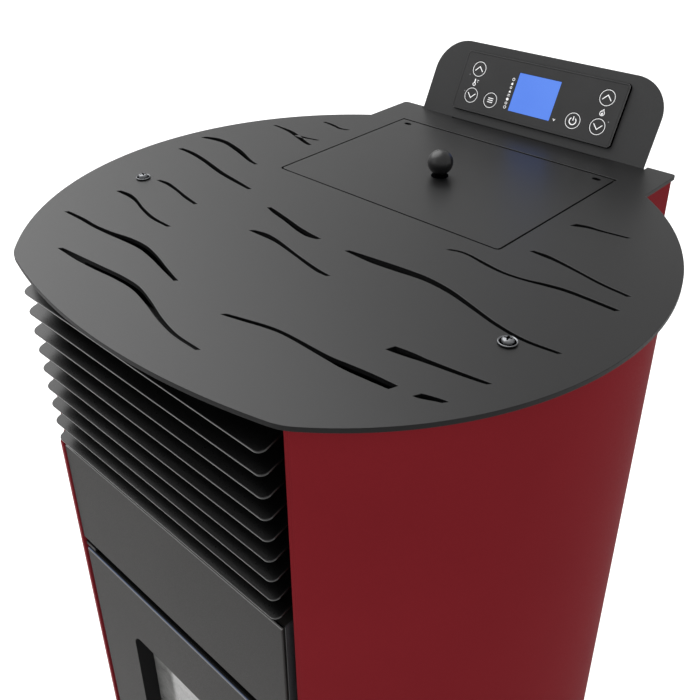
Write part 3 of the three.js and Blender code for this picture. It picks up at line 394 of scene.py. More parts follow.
def settle(mesh, limit=40):
    """Smooth shading in which flat faces stay flat: a vertex takes the direction of the widest face that meets it."""
    bm = bmesh.new()
    bm.from_mesh(mesh)
    bm.normal_update()
    bm.faces.ensure_lookup_table()
    count = len(bm.faces)
    normal = [f.normal.copy() for f in bm.faces]
    area = [f.calc_area() for f in bm.faces]
    group = [-1] * count
    size, heading = [], []
    near = math.cos(math.radians(0.35))
    for seed in range(count):
        if group[seed] >= 0:
            continue
        g = len(size)
        group[seed] = g
        stack, total = [seed], 0.0
        while stack:
            i = stack.pop()
            total += area[i]
            for e in bm.faces[i].edges:
                for f in e.link_faces:
                    if group[f.index] < 0 and (normal[f.index].dot(normal[seed]) > near or area[f.index] < 1e-12):
                        group[f.index] = g
                        stack.append(f.index)
        size.append(total ** 1.5)
        heading.append(normal[seed] if area[seed] > 1e-12 else Vector((0, 0, 0)))
    around = [sorted({group[f.index] for f in v.link_faces}) for v in bm.verts]
    wide = math.cos(math.radians(limit))
    bm.free()
    out = []
    for poly in mesh.polygons:
        poly.use_smooth = True
        own = heading[group[poly.index]]
        for v in poly.vertices:
            n = Vector((0, 0, 0))
            for g in around[v]:
                if heading[g].dot(own) > wide:
                    n += heading[g] * size[g]
            out.append(tuple(n.normalized()) if n.length_squared > 0 else tuple(poly.normal))
    mesh.normals_split_custom_set(out)
    return mesh


def slab(loops, z0, z1, bevel=0.35, matrix=None, steps=2):
    """A flat sheet from closed loops in millimetres, the first the outside, with rounded edges."""
    curve = bpy.data.curves.new("outline", "CURVE")
    curve.dimensions = "2D"
    curve.fill_mode = "BOTH"
    curve.extrude = (z1 - z0) / 2 - bevel
    curve.bevel_depth = bevel
    curve.bevel_resolution = steps
    curve.offset = -bevel
    for loop in loops:
        sp = curve.splines.new("POLY")
        sp.points.add(len(loop) - 1)
        for p, (x, y) in zip(sp.points, loop):
            p.co = (x, y, 0, 1)
        sp.use_cyclic_u = True
    obj = bpy.data.objects.new("outline", curve)
    bpy.context.scene.collection.objects.link(obj)
    bpy.context.view_layer.update()
    mesh = bpy.data.meshes.new_from_object(obj.evaluated_get(bpy.context.evaluated_depsgraph_get()))
    bpy.data.objects.remove(obj)
    bpy.data.curves.remove(curve)
    mesh.transform(Matrix.Translation((0, 0, (z0 + z1) / 2)))
    bm = bmesh.new()
    bm.from_mesh(mesh)
    bmesh.ops.remove_doubles(bm, verts=bm.verts, dist=1e-4)
    bmesh.ops.recalc_face_normals(bm, faces=bm.faces)
    bm.to_mesh(mesh)
    bm.free()
    mesh.transform(PLACE @ (matrix or Matrix.Identity(4)))
    return mesh


def lathe(profile, matrix=None, steps=64):
    """A turned solid from (radius, height) points in millimetres, lowest first."""
    bm = bmesh.new()
    rings = []
    for r, z in profile:
        if r < 1e-6:
            rings.append([bm.verts.new((0, 0, z))])
        else:
            rings.append([bm.verts.new((r * math.cos(2 * math.pi * i / steps), r * math.sin(2 * math.pi * i / steps), z)) for i in range(steps)])
    for a, b in zip(rings, rings[1:]):
        for i in range(steps):
            j = (i + 1) % steps
            if len(a) == 1 and len(b) == 1:
                continue
            if len(a) == 1:
                bm.faces.new((a[0], b[j], b[i]))
            elif len(b) == 1:
                bm.faces.new((a[i], a[j], b[0]))
            else:
                bm.faces.new((a[i], a[j], b[j], b[i]))
    bmesh.ops.recalc_face_normals(bm, faces=bm.faces)
    mesh = bpy.data.meshes.new("turned")
    bm.to_mesh(mesh)
    bm.free()
    mesh.transform(PLACE @ (matrix or Matrix.Identity(4)))
    return mesh


def merge(meshes):
    bm = bmesh.new()
    for m in meshes:
        bm.from_mesh(m)
    mesh = bpy.data.meshes.new("merged")
    bm.to_mesh(mesh)
    bm.free()
    for m in meshes:
        bpy.data.meshes.remove(m)
    return mesh


def rounded(mesh, width, segments, angle):
    """The mesh with its edges over the angle rounded to the width, in millimetres."""
    obj = bpy.data.objects.new("rounding", mesh)
    bpy.context.scene.collection.objects.link(obj)
    b = obj.modifiers.new("edges", "BEVEL")
    b.width = width / 1000
    b.segments = segments
    b.limit_method = "ANGLE"
    b.angle_limit = math.radians(angle)
    b.use_clamp_overlap = True
    bpy.context.view_layer.update()
    out = bpy.data.meshes.new_from_object(obj.evaluated_get(bpy.context.evaluated_depsgraph_get()))
    bpy.data.objects.remove(obj)
    bpy.data.meshes.remove(mesh)
    return out


def refine(node, material, width=0.4, segments=2, angle=35, name=None, clean=1.0):
    """The CAD node's own shape with its flat faces joined and its edges rounded."""
    src = frame["nodes"][node].data
    bm = bmesh.new()
    bm.from_mesh(src)
    bmesh.ops.remove_doubles(bm, verts=bm.verts, dist=2e-6)
    bmesh.ops.dissolve_limit(bm, angle_limit=math.radians(clean), verts=bm.verts, edges=bm.edges)
    bmesh.ops.recalc_face_normals(bm, faces=bm.faces)
    mesh = bpy.data.meshes.new(node)
    bm.to_mesh(mesh)
    bm.free()
    if width:
        mesh = rounded(mesh, width, segments, angle)
    obj = new_object(name or node + "_skin", mesh, material, body_of(node))
    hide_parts(node)
    return obj


def piece(name, mesh, material, node=None, body=None):
    obj = new_object(name, mesh, material, body or body_of(node))
    if node:
        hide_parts(node)
    return obj


def accent(obj, material, test):
    """Gives the faces that pass test(centre, normal), in design millimetres, a second material."""
    obj.data.materials.append(material)
    index = len(obj.data.materials) - 1
    for poly in obj.data.polygons:
        c = poly.center
        if test(Vector((c.x * 1000, (c.y - SHIFT_Y) * 1000, c.z * 1000)), poly.normal):
            poly.material_index = index


def cut(mesh, tool):
    """The mesh less the tool, both closed."""
    a, b = bpy.data.objects.new("cut_a", mesh), bpy.data.objects.new("cut_b", tool)
    for o in (a, b):
        bpy.context.scene.collection.objects.link(o)
    m = a.modifiers.new("cut", "BOOLEAN")
    m.operation, m.solver, m.object = "DIFFERENCE", "EXACT", b
    bpy.context.view_layer.update()
    out = bpy.data.meshes.new_from_object(a.evaluated_get(bpy.context.evaluated_depsgraph_get()))
    for o, d in ((a, mesh), (b, tool)):
        bpy.data.objects.remove(o)
        bpy.data.meshes.remove(d)
    bm = bmesh.new()
    bm.from_mesh(out)
    bmesh.ops.remove_doubles(bm, verts=bm.verts, dist=1e-6)
    bm.to_mesh(out)
    bm.free()
    return out


def split_at(mesh, z):
    """The mesh with its faces divided at the height z, in millimetres."""
    bm = bmesh.new()
    bm.from_mesh(mesh)
    bmesh.ops.bisect_plane(bm, geom=bm.verts[:] + bm.edges[:] + bm.faces[:], dist=1e-6, plane_co=(0, 0, z / 1000), plane_no=(0, 0, 1))
    bm.to_mesh(mesh)
    bm.free()
    return mesh


def arc(cx, cy, r, a0, a1, n):
    return [(cx + r * math.cos(math.radians(a0 + (a1 - a0) * i / n)), cy + r * math.sin(math.radians(a0 + (a1 - a0) * i / n))) for i in range(n + 1)]


def round_rect(x0, x1, y0, y1, r, n=6, corners=(1, 1, 1, 1)):
    c = [(x1 - r, y0 + r, -90), (x1 - r, y1 - r, 0), (x0 + r, y1 - r, 90), (x0 + r, y0 + r, 180)]
    sharp = [(x1, y0), (x1, y1), (x0, y1), (x0, y0)]
    out = []
    for (cx, cy, a), s, on in zip(c, sharp, corners):
        out += arc(cx, cy, r, a, a + 90, n) if on else [s]
    return out


def mirror(points):
    return [(-x, y) for x, y in reversed(points)]


def ring(cx, cy, r, n=48):
    return [(cx + r * math.cos(2 * math.pi * i / n), cy + r * math.sin(2 * math.pi * i / n)) for i in range(n)]


# ------------------------------------------------------------------ top plate
FRONT_Y, BOW_R, PLATE_R, CORNER_R = -245.5, 566.0, 274.0, 45.0


def plate_outline():
    bow_c = FRONT_Y + BOW_R
    a, b = PLATE_R - CORNER_R, BOW_R - CORNER_R
    fy = (a * a - b * b + bow_c * bow_c) / (2 * bow_c)
    fx = math.sqrt(a * a - fy * fy)
    bow_end = math.degrees(math.atan2(fy - bow_c, fx))
    side_start = math.degrees(math.atan2(fy, fx))
    side_end = math.degrees(math.acos(163 / PLATE_R))
    right = arc(0, bow_c, BOW_R, -90, bow_end, 20)
    right += arc(fx, fy, CORNER_R, bow_end, side_start, 12)[1:]
    right += arc(0, 0, PLATE_R, side_start, side_end, 90)[1:]
    right += arc(159, 277, 4, 0, 90, 6)
    right += [(134.5, 281), (134.5, 274.6), (90, 274.6), (90, 271.1)]
    return right + mirror(right)[:-1]


SLOTS = [
    [(-198, -148.6, 3), (-174.6, -147.7, 4), (-153.4, -148.2, 4), (-132.1, -146.6, 5.2), (-110.9, -143.6, 7.4), (-89.6, -143, 7.2), (-68.4, -146.8, 6), (-47.2, -152.6, 4.4), (-25, -158.3, 2.8)],
    [(-139.5, -190.3, 3), (-113, -189.4, 6), (-88.2, -187.7, 7), (-63.4, -185.5, 6.8), (-38.9, -185.9, 6.2), (-14, -191.9, 5), (10.8, -199.7, 3.8), (35.6, -204.8, 2.8), (61.5, -205.5, 2.6)],
    [(-201, -91.2, 3.4), (-187.9, -90.4, 5), (-176.4, -91.6, 4), (-164.5, -94.8, 3), (-152.6, -98.9, 3), (-129.2, -104.4, 3.4), (-104.5, -105.2, 2.8)],
    [(-193, -51, 2.8), (-183.6, -50.2, 4), (-175, -50.8, 4), (-158.4, -54, 3.2), (-141.5, -58, 3.6), (-123.5, -61, 2.8)],
    [(-243, 14, 4), (-226.1, 14.1, 5), (-209.9, 11.9, 5), (-193.7, 8.6, 5), (-161.3, 0.8, 5), (-128.9, -4, 4.2), (-111.5, -6.3, 3)],
    [(-251, 50.5, 4), (-238, 55, 7), (-226.1, 56.4, 6.4), (-213.8, 55.3, 6), (-189.4, 49, 6), (-165.2, 40.4, 4), (-152, 37.6, 2.6)],
    [(-220, 125.6, 2.6), (-209.5, 125.4, 3.2), (-192.2, 123.3, 5), (-175.3, 118, 5.6), (-158, 111.8, 4.4), (-149, 109.6, 3.4)],
    [(-180, 119.6, 3.6), (-168, 120.6, 4), (-160, 122.4, 3.6), (-151, 124.6, 3)],
    [(-186, 168.6, 2.6), (-176, 168.4, 3.6), (-167, 166.9, 3.6), (-158.4, 165.3, 3.4), (-148.5, 167.8, 2.8)],
    [(-46.5, -62, 3), (-32.4, -60.2, 6), (-20.2, -60.6, 5), (-7.6, -62.6, 4), (17.3, -68.2, 3.2), (42.1, -73.2, 3.8), (56, -74, 2.6)],
    [(-68.5, -21.3, 3), (-58, -24, 5), (-39.6, -28.1, 5.2), (-21.2, -32.8, 6), (-11.9, -34.6, 6.4), (-2.9, -35.6, 6), (7.5, -34.8, 3)],
    [(38.5, -34.2, 3), (64.4, -32.7, 7.6), (89.3, -29.8, 8), (114.1, -27.4, 6.4), (139, -30.2, 5.2), (164.2, -37.1, 4), (189, -44.1, 3.4), (213.8, -47.7, 3.2), (240, -45.2, 2.8)],
    [(39, -164.5, 3), (58.3, -159, 3.6), (76.3, -154.2, 3.6), (94, -152.1, 3.2), (130, -152.4, 4.4), (147.6, -151.4, 7), (165.6, -149.4, 7.6), (184.5, -147.6, 6.6)],
    [(97, 21.8, 2.6), (106, 25, 2.6), (115.9, 25.2, 2.6), (133.9, 21.8, 3.4), (151.6, 19.7, 3), (169.2, 21.5, 3), (186.8, 25.9, 4.2), (204.5, 28.5, 4), (241, 28.1, 3.6)],
    [(147.5, 64.2, 3), (159.5, 64.3, 4.6), (170.6, 63.2, 3.8), (192.2, 58.8, 3), (214.2, 53.9, 3), (237.5, 51.3, 2.8)],
    [(154.5, -115.6, 7), (164.5, -113.8, 7), (173.2, -112.4, 6), (181.8, -111.2, 4.6), (207.4, -107.3, 3.6), (226, -103.9, 2.8)],
    [(147, 126.8, 6), (158.8, 131, 4.4), (169.9, 131.9, 3.2), (193, 135.2, 2.6)],
    [(200, -143.6, 5), (204.8, -141.8, 5.4), (212.4, -138.8, 4), (217.5, -137.2, 3)],
]


def spline(points, n):
    """Catmull-Rom through (x, y, width), n steps a span."""
    p = [Vector(q) for q in points]
    p = [2 * p[0] - p[1]] + p + [2 * p[-1] - p[-2]]
    out = []
    for i in range(1, len(p) - 2):
        for k in range(n):
            t = k / n
            a, b, c, d = p[i - 1], p[i], p[i + 1], p[i + 2]
            out.append(0.5 * ((2 * b) + (c - a) * t + (2 * a - 5 * b + 4 * c - d) * t * t + (3 * b - a - 3 * c + d) * t ** 3))
    out.append(p[-2])
    return out


def slot_outline(points):
    along = spline(points, 5)
    upper = [(q.x, q.y + q.z / 2) for q in along]
    lower = [(q.x, q.y - q.z / 2) for q in along]
    upper[0] = (upper[0][0] + 1.2, upper[0][1])
    upper[-1] = (upper[-1][0] + 1.2, upper[-1][1])
    lower[0] = (lower[0][0] - 1.2, lower[0][1])
    lower[-1] = (lower[-1][0] - 1.2, lower[-1][1])
    return lower + upper[::-1]


opening = round_rect(-127.8, 127.8, 47.1, 235.2, 4, 6, (1, 0, 0, 1))
loops = [plate_outline(), opening] + [slot_outline(s) for s in SLOTS] + [ring(s * 208, -58, 3.5, 24) for s in (-1, 1)]
plate = piece("top_plate_skin", slab(loops, TOP_Z - 4, TOP_Z, 0.35), BLACK, "top_plate")
# The edges and slot walls of the plate are painted darker: painted shade.
accent(plate, RIM_SHADE, lambda c, n: abs(n.z) < 0.6)
refine("lid", BLACK, 0.35, name="lid_skin")

for side, s in (("left", -1), ("right", 1)):
    place = Matrix.Translation((s * 208, -58, TOP_Z)) @ Matrix.Rotation(math.radians(20 * s), 4, "Z")
    profile = [(0, -18), (2.3, -18), (2.9, -17.2), (2.9, 0.6), (6.2, 0.6), (6.8, 0.7), (7, 0.95), (7, 1.4), (6.85, 1.7), (6.55, 1.82), (6.25, 1.7), (5.95, 1.25), (5.3, 0.95), (4.65, 0.95), (4.45, 1.3)]
    profile += [(4.42, 2.1), (4.3, 2.9), (3.95, 3.5), (3.3, 3.95), (2.3, 4.25), (1.2, 4.4), (0, 4.45)]
    w, l = 0.8, 2.9
    star = [(l, -w * 0.7), (l, w * 0.7), (w * 1.5, w), (w, w * 1.5), (w * 0.7, l), (-w * 0.7, l), (-w, w * 1.5), (-w * 1.5, w), (-l, w * 0.7), (-l, -w * 0.7), (-w * 1.5, -w), (-w, -w * 1.5), (-w * 0.7, -l), (w * 0.7, -l), (w, -w * 1.5), (w * 1.5, -w)]
    head = piece(f"screw_{side}", cut(lathe(profile, place, 56), slab([star], 2.0, 5.5, 0.05, place)), ZINC, f"top_screw_{side}")
    # The cross recess and the groove round the crown are painted dark: painted shade.
    accent(head, BLACK_AND_SHADE, lambda c, n, s=s: (math.hypot(c.x - s * 208, c.y + 58) < 3.0 and TOP_Z + 1.9 < c.z and (n.z < 0.5 or c.z < TOP_Z + 3.2)) or (4.3 < math.hypot(c.x - s * 208, c.y + 58) < 5.8 and TOP_Z + 0.9 < c.z < TOP_Z + 1.35))

# Ball knob on its foot, with its stud and nut under the lid.
KNOB_PROFILE = [(0, -12), (2.6, -12), (3, -11.6), (3, -8.8), (5.2, -8.6), (5.4, -8.4), (5.4, -4.6), (5.2, -4.4), (3, -4.3), (3, 0.3), (4.9, 0.3), (5.0, 0.6)]
KNOB_PROFILE += [(12 * math.cos(math.radians(a)), 13.5 + 12 * math.sin(math.radians(a))) for a in range(-65, 90, 5)] + [(0, 25.5)]
ball = piece("knob_ball", lathe(KNOB_PROFILE, Matrix.Translation((0, 135, TOP_Z)), 72), KNOB, "lid_knob")
# The foot of the knob is painted black: painted shade under the ball.
accent(ball, BLACK_AND_SHADE, lambda c, n: TOP_Z < c.z < TOP_Z + 3.4)
# A black disc round the foot stands in for the contact shadow under the ball: painted shadow.
shadow_washer = lathe([(5.1, 0.02), (7.9, 0.02), (8.2, 0.15), (8.2, 0.45), (7.8, 0.75), (5.1, 0.75), (5.1, 0.02)], Matrix.Translation((0, 135, TOP_Z)), 56)
piece("knob_shadow_washer", shadow_washer, BLACK_AND_SHADE, body=body_of("lid"))

# Two small oval rivets near the rear corners of the lid.
for side, s in (("left", -1), ("right", 1)):
    oval = [(s * 113 + 4.5 * math.cos(t), 224 + 2.6 * math.sin(t)) for t in (2 * math.pi * i / 36 for i in range(36))]
    piece(f"lid_mark_{side}", slab([oval], TOP_Z - 0.3, TOP_Z + 0.12, 0.1), BLACK_AND_SHADE, body="lid")
for side in ("left", "right"):
    refine(f"lid_pivot_pin_{side}", IRON, 0.15)

# ------------------------------------------------------------------ control panel
outline = [(-133, -0.9), (133, -0.9)] + arc(97, 47, 36, 0, 90, 24) + arc(-97, 47, 36, 90, 180, 24)
window = round_rect(-88.4, 88.4, 12.6, 69.9, 2, 5)
sheet = slab([outline, window], -2, 0, 0.35, LEAN)
tab_back = Matrix.Translation((0, 277, TOP_Z)) @ Matrix.Rotation(math.radians(90), 4, "X")
tab_loop = [(-133, -70), (-60, -70), (-60, -55), (60, -55), (60, -70), (133, -70), (133, 0.4), (-133, 0.4)]
tab = slab([tab_loop], 0, 2, 0.3, tab_back)
piece("panel_sheet", merge([sheet, tab]), CASE, "control_bracket")

lx0, lx1, ly0, ly1 = -25.6, 23.6, 20.6, 60.9
KEYS = [("key_up_left", -75, 55.3), ("key_down_left", -75, 26.6), ("key_set", -50, 26.3),
        ("key_power", 49, 26.6), ("key_up_right", 76, 55.8), ("key_down_right", 76, 26.8)]
holes = [ring(x, y, 8.9, 48) for _, x, y in KEYS] + [round_rect(lx0 - 0.25, lx1 + 0.25, ly0 - 0.25, ly1 + 0.25, 0.8, 4)]
rim = slab([round_rect(-95, 95, 9.5, 73, 4, 8), round_rect(-93.3, 93.3, 11.2, 71.3, 2.6, 8)], 0.3, 3.2, 0.45, LEAN)
film = slab([round_rect(-93.22, 93.22, 11.28, 71.22, 2.5, 8)] + holes, 1.6, 3.15, 0.06, LEAN)
tray = slab([round_rect(-88, 88, 13, 69.5, 2, 4), round_rect(-86, 86, 15, 67.5, 1, 4)], -17, 0.3, 0.2, LEAN)
floor_sheet = slab([round_rect(-94, 94, 10.5, 72, 3, 6)] + holes, 0.3, 1.7, 0.05, LEAN)
shell = piece("module_shell", merge([rim, tray, floor_sheet, film]), FILM, "display_housing")
FLAT = LEAN.inverted()
TURN = LEAN.to_3x3().inverted()


def on_rim(c, n, low, high):
    """True for the outer faces of the rim whose lift from the panel lies between low and high."""
    q, m = FLAT @ c, TURN @ n
    return (abs(q.x) > 94.3 or q.y < 10.2 or q.y > 72.3) and q.z > 0 and low <= m.z < high


# The outer sides of the rim are painted black: painted shade.
accent(shell, BLACK_AND_SHADE, lambda c, n: on_rim(c, n, -0.9, 0.5))
# The right and lower bevels of the rim take the light paint: painted highlight.
accent(shell, LIT_EDGE, lambda c, n: on_rim(c, n, 0.5, 0.92) and ((TURN @ n).x > 0.3 or (TURN @ n).y < -0.3))
# A thin black ring under the rim gives a dark outline round the module: painted shade.
gasket = slab([round_rect(-95.5, 95.5, 9.0, 73.5, 4.4, 8), round_rect(-88.6, 88.6, 12.4, 70.1, 2, 4)], 0.02, 0.29, 0.05, LEAN)
piece("module_shade_gasket", gasket, BLACK_AND_SHADE, body="casing")
window = piece("display_window", slab([round_rect(lx0, lx1, ly0, ly1, 0.6, 4)], -3.7, 2.9, 0.12, LEAN), LCD, "lcd_screen")
accent(window, SHELL, lambda c, n: (FLAT @ c).z < 2.6)
# Circuit board behind the keys, on four posts, with its parts on the rear side.
board = slab([round_rect(-84, 84, 17, 65.5, 1.5, 4)] + [ring(x, y, 1.6, 16) for x in (-80, 80) for y in (21, 61.5)], -7.2, -5.6, 0.1, LEAN)
piece("module_board", board, BOARD, body="casing")
posts = [lathe([(0, -8.6), (1.5, -8.6), (2.6, -8.4), (3, -7.9), (3, -7.3), (2.2, -7.2), (2.2, -5.5), (2.8, -5.4), (2.8, -0.62), (0, -0.62)], LEAN @ Matrix.Translation((x, y, 0)), 24) for x in (-80, 80) for y in (21, 61.5)]
piece("module_posts", merge(posts), SHELL, body="casing")
chips = [slab([round_rect(x0, x1, y0, y1, 0.8, 3)], z0, -7.22, 0.35, LEAN) for x0, x1, y0, y1, z0 in (
    (-62, -38, 24, 32, -15), (-24, -2, 34, 56, -9.4), (14, 26, 24, 34, -11), (34, 62, 40, 50, -13.5), (34, 44, 24, 30, -9), (50, 56, 24, 30, -9), (-62, -52, 42, 56, -10.5))]
piece("module_parts", merge(chips), SHELL, body="casing")


def band(points, w, z0, z1, closed=False):
    """A printed line of width w along points, as a thin closed strip on the leaning face."""
    n = len(points)
    bm = bmesh.new()
    rows = []
    for i, p in enumerate(points):
        p = Vector(p)
        a = Vector(points[i - 1]) if closed or i else p
        b = Vector(points[(i + 1) % n]) if closed or i < n - 1 else p
        t1, t2 = (p - a), (b - p)
        t1 = t1.normalized() if t1.length else t2.normalized()
        t2 = t2.normalized() if t2.length else t1
        t = (t1 + t2).normalized()
        off = Vector((-t.y, t.x)) * (w / 2 / max(0.5, t.dot(t1)))
        rows.append([bm.verts.new((q.x, q.y, z)) for q, z in ((p + off, z0), (p - off, z0), (p - off, z1), (p + off, z1))])
    for i in range(n if closed else n - 1):
        r, q = rows[i], rows[(i + 1) % n]
        for k in range(4):
            bm.faces.new((r[k], r[(k + 1) % 4], q[(k + 1) % 4], q[k]))
    if not closed:
        bm.faces.new(rows[0])
        bm.faces.new(rows[-1][::-1])
    return on_panel(bm)


def blot(points, z0, z1):
    """A printed filled shape."""
    bm = bmesh.new()
    low = [bm.verts.new((x, y, z0)) for x, y in points]
    high = [bm.verts.new((x, y, z1)) for x, y in points]
    bm.faces.new(low[::-1])
    bm.faces.new(high)
    for i in range(len(points)):
        j = (i + 1) % len(points)
        bm.faces.new((low[i], low[j], high[j], high[i]))
    return on_panel(bm)


def on_panel(bm):
    bmesh.ops.recalc_face_normals(bm, faces=bm.faces)
    mesh = bpy.data.meshes.new("print")
    bm.to_mesh(mesh)
    bm.free()
    mesh.transform(PLACE @ LEAN)
    return mesh


def at(points, x, y, k=1.0):
    return [(x + k * px, y + k * py) for px, py in points]


FLAME = [(0, -2.6), (1.3, -2.2), (2.0, -1.0), (1.7, 0.4), (0.9, 1.4), (0.6, 2.8), (-0.2, 1.9), (-0.5, 0.9), (-1.1, 1.3), (-1.9, 0.1), (-2.0, -1.2), (-1.2, -2.3)]
KEY_TOP = 2.95
for name, x, y in KEYS:
    cap = lathe([(0, -1.9), (6.8, -1.9), (8.6, -1.4), (8.6, 1.5), (8.76, 1.75), (8.76, KEY_TOP - 0.1), (8.66, KEY_TOP), (0, KEY_TOP)], LEAN @ Matrix.Translation((x, y, 0)), 56)
    piece(f"cap_{name}", cap, FILM, name)
    z = (KEY_TOP - 0.02, KEY_TOP + 0.03)
    marks = [band(ring(x, y, 7.78, 72), 0.52, *z, closed=True)]
    if "up" in name:
        marks.append(band(at([(-4.7, -2.3), (0, 2.7), (4.7, -2.3)], x, y), 0.85, *z))
    elif "down" in name:
        marks.append(band(at([(-4.7, 2.3), (0, -2.7), (4.7, 2.3)], x, y), 0.85, *z))
    elif "power" in name:
        marks.append(band(arc(x, y - 0.3, 3.6, 128, 412, 40), 0.95, *z))
        marks.append(band([(x, y + 0.2), (x, y + 4.4)], 0.95, *z))
    else:
        for dy in (-2.1, 0, 2.1):
            marks.append(band([(x - 3.2, y + dy), (x + 3.2, y + dy)], 0.85, *z))
    piece(f"print_{name}", merge(marks), GLOW_INK, body=body_of(name))

# Small printed signs between the keys and beside the display.
z = (3.14, 3.19)
cx = -30.3
signs = [
    band(ring(-75.6, 38.7, 1.55, 24), 0.75, *z, closed=True),
    band([(-75.6, 40.2), (-75.6, 44.4)], 1.3, *z),
    band([(-73.0, 43.4), (-71.0, 43.4)], 0.6, *z),
    band([(-73.0, 41.6), (-71.6, 41.6)], 0.6, *z),
    band(at(FLAME, 76.2, 41.0, 1.2), 0.65, *z, closed=True),
    blot(at(FLAME, 76.2, 39.9, 0.5), *z),
    band(ring(cx, 52.8, 1.35, 24), 0.5, *z, closed=True),
    blot(at(FLAME, cx, 48.2, 0.6), *z),
    band(ring(cx, 44.0, 1.1, 24), 0.5, *z, closed=True),
    blot([(cx - 1.4, 38.9), (cx + 1.4, 38.9), (cx, 41.4)], *z),
    band([(cx - 1.4, 35.2), (cx + 1.4, 35.2)], 0.6, *z),
    band([(cx - 1.4, 36.8), (cx + 1.4, 36.8)], 0.6, *z),
    blot(ring(cx, 31.7, 1.5, 24), *z),
    band(ring(cx, 27.5, 1.15, 24), 0.5, *z, closed=True),
    band(ring(cx, 23.3, 1.35, 24), 0.5, *z, closed=True),
    band([(27.7, 24.0), (29.0, 22.0), (30.3, 24.0)], 0.6, *z),
]
piece("print_signs", merge(signs), GLOW_INK, body="casing")
dots = [blot(ring(x, y, 0.55, 20), *z) for x, y in ((-84.5, 47.6), (-84.5, 29.6), (85.5, 33.6))]
piece("print_dots", merge(dots), DARK_INK, body="casing")

# ------------------------------------------------------------------ louvre fins
for i in range(9):
    front, z = -228 + 0.5 * i, TOP_Z - 27.4 - 19.44 * i
    depth = (-180.6 - front) / math.cos(math.radians(14))
    half = arc(139.5, 6.5, 6.5, -90, 0, 14) + [(146, depth - 6), (140, depth)]
    loop = half + mirror(half)
    m = Matrix.Translation((0, front, z)) @ Matrix.Rotation(math.radians(14), 4, "X")
    piece(f"fin_{i + 1}", slab([loop], -2, 0, 0.45, m), FIN_SHADE, f"louvre_fin_{i + 1}")

# ------------------------------------------------------------------ casing
ra = math.degrees(math.acos(160 / 264))
ri = math.degrees(math.acos(158 / 262))
CUT_Y, CUT_Z = -209.0, 846.0


def side_loop(y, x0, x1, turn):
    """Plan of the right side panel: front fold at y from x0 to x1, the round from the angle turn, rear return."""
    p = [(x0, -198)] + arc(x0 + 0.8, y + 0.8, 0.8, 180, 270, 4) + arc(x1 - 1.6, y + 1.6, 1.6, -90, -46, 6)
    p += arc(0, 0, 264, turn, ra, 110)
    p += [(160, 279), (146, 279), (146, 277), (158, 277)]
    p += arc(0, 0, 262, ri, turn, 110)
    return p + [(x1 - 0.6, y + 2), (x0 + 1.6, y + 2), (x0 + 1.6, -198)]


right = piece("side_wrap_right", slab([side_loop(-212.6, 151.5, 155.7, -53.5)], 30.3, TOP_Z - 4.4, 0.45), RED, "side_panel_right")
notch = slab([[(-170, -224), (-146.6, -224), (-146.6, CUT_Y), (-170, CUT_Y)]], CUT_Z, TOP_Z + 2, 0.01)
left = piece("side_wrap_left", split_at(cut(slab([mirror(side_loop(-220.2, 147.2, 152.0, -47))], 30.3, TOP_Z - 4.4, 0.45), notch), CUT_Z + 0.01), RED, "side_panel_left")
# The front fold of the left panel takes the lighter red: painted highlight.
accent(left, RED_LIT_EDGE, lambda c, n: (c.y < -217.5 and n.y < -0.9 and c.x > -151.4) or (n.x > 0.9 and -147.6 < c.x < -146.8 and c.y < -197))
# Beside the fins, the front of the left panel above the split is painted dark: painted shade.
accent(left, PRIMER_AND_SHADE, lambda c, n: c.z > CUT_Z and c.y < -190 and c.x > -154)
# The inner faces of both side panels are painted near black: painted shade inside the body.
for wrap in (left, right):
    accent(wrap, PRIMER_AND_SHADE, lambda c, n: (abs(c.x) > 152.5 or c.y > -197) and n.x * c.x + n.y * c.y < -0.35 * math.hypot(c.x, c.y))
refine("base_plate", BLACK, 0.4)
refine("rear_panel", BLACK, 0.25)
refine("front_post_left", IRON, 0.3)
refine("front_post_right", IRON, 0.3)
UPRIGHT = Matrix.Rotation(math.radians(90), 4, "X")
z0, z1 = 727.5, 844.0
front = slab([round_rect(-146, 146, z0, z1, 1.2, 4)], 217.1, 219, 0.8, UPRIGHT, 4)
neck = slab([round_rect(-144.9, 144.9, z0 + 1.1, z1 - 1.1, 0.5, 2)], 215.2, 217.3, 0.05, UPRIGHT)
back_box = slab([round_rect(-146, 146, z0, z1, 1.2, 4), round_rect(-144.4, 144.4, z0 + 1.6, z1 - 1.6, 0.6, 3)], 195, 215.4, 0.5, UPRIGHT)
cover = piece("front_panel_skin", merge([front, neck, back_box]), CHARCOAL, "upper_front_panel")
# The top edge of the front panel takes the light paint: painted highlight.
accent(cover, LIT_EDGE, lambda c, n: c.y < -217.3 and n.z > 0.35)
# The right return of the front panel takes the lighter coat: painted light.
accent(cover, LIT_RETURN, lambda c, n: c.y > -215.4 and n.x > 0.5)
# The groove behind the front sheet is painted black: painted shade.
accent(cover, SHADE_BLACK, lambda c, n: -217.2 < c.y < -214.6 and (abs(n.y) < 0.5 or n.z > 0.2))

# ------------------------------------------------------------------ door
frame_skin = refine("door_frame", CHARCOAL, 0.8, 3, angle=30)
# The rounded top edge of the door takes the painted highlight, painted reflection and painted shade.
accent(frame_skin, DOOR_LIT_EDGE, lambda c, n: c.z > 711.5 and n.z > 0.15)
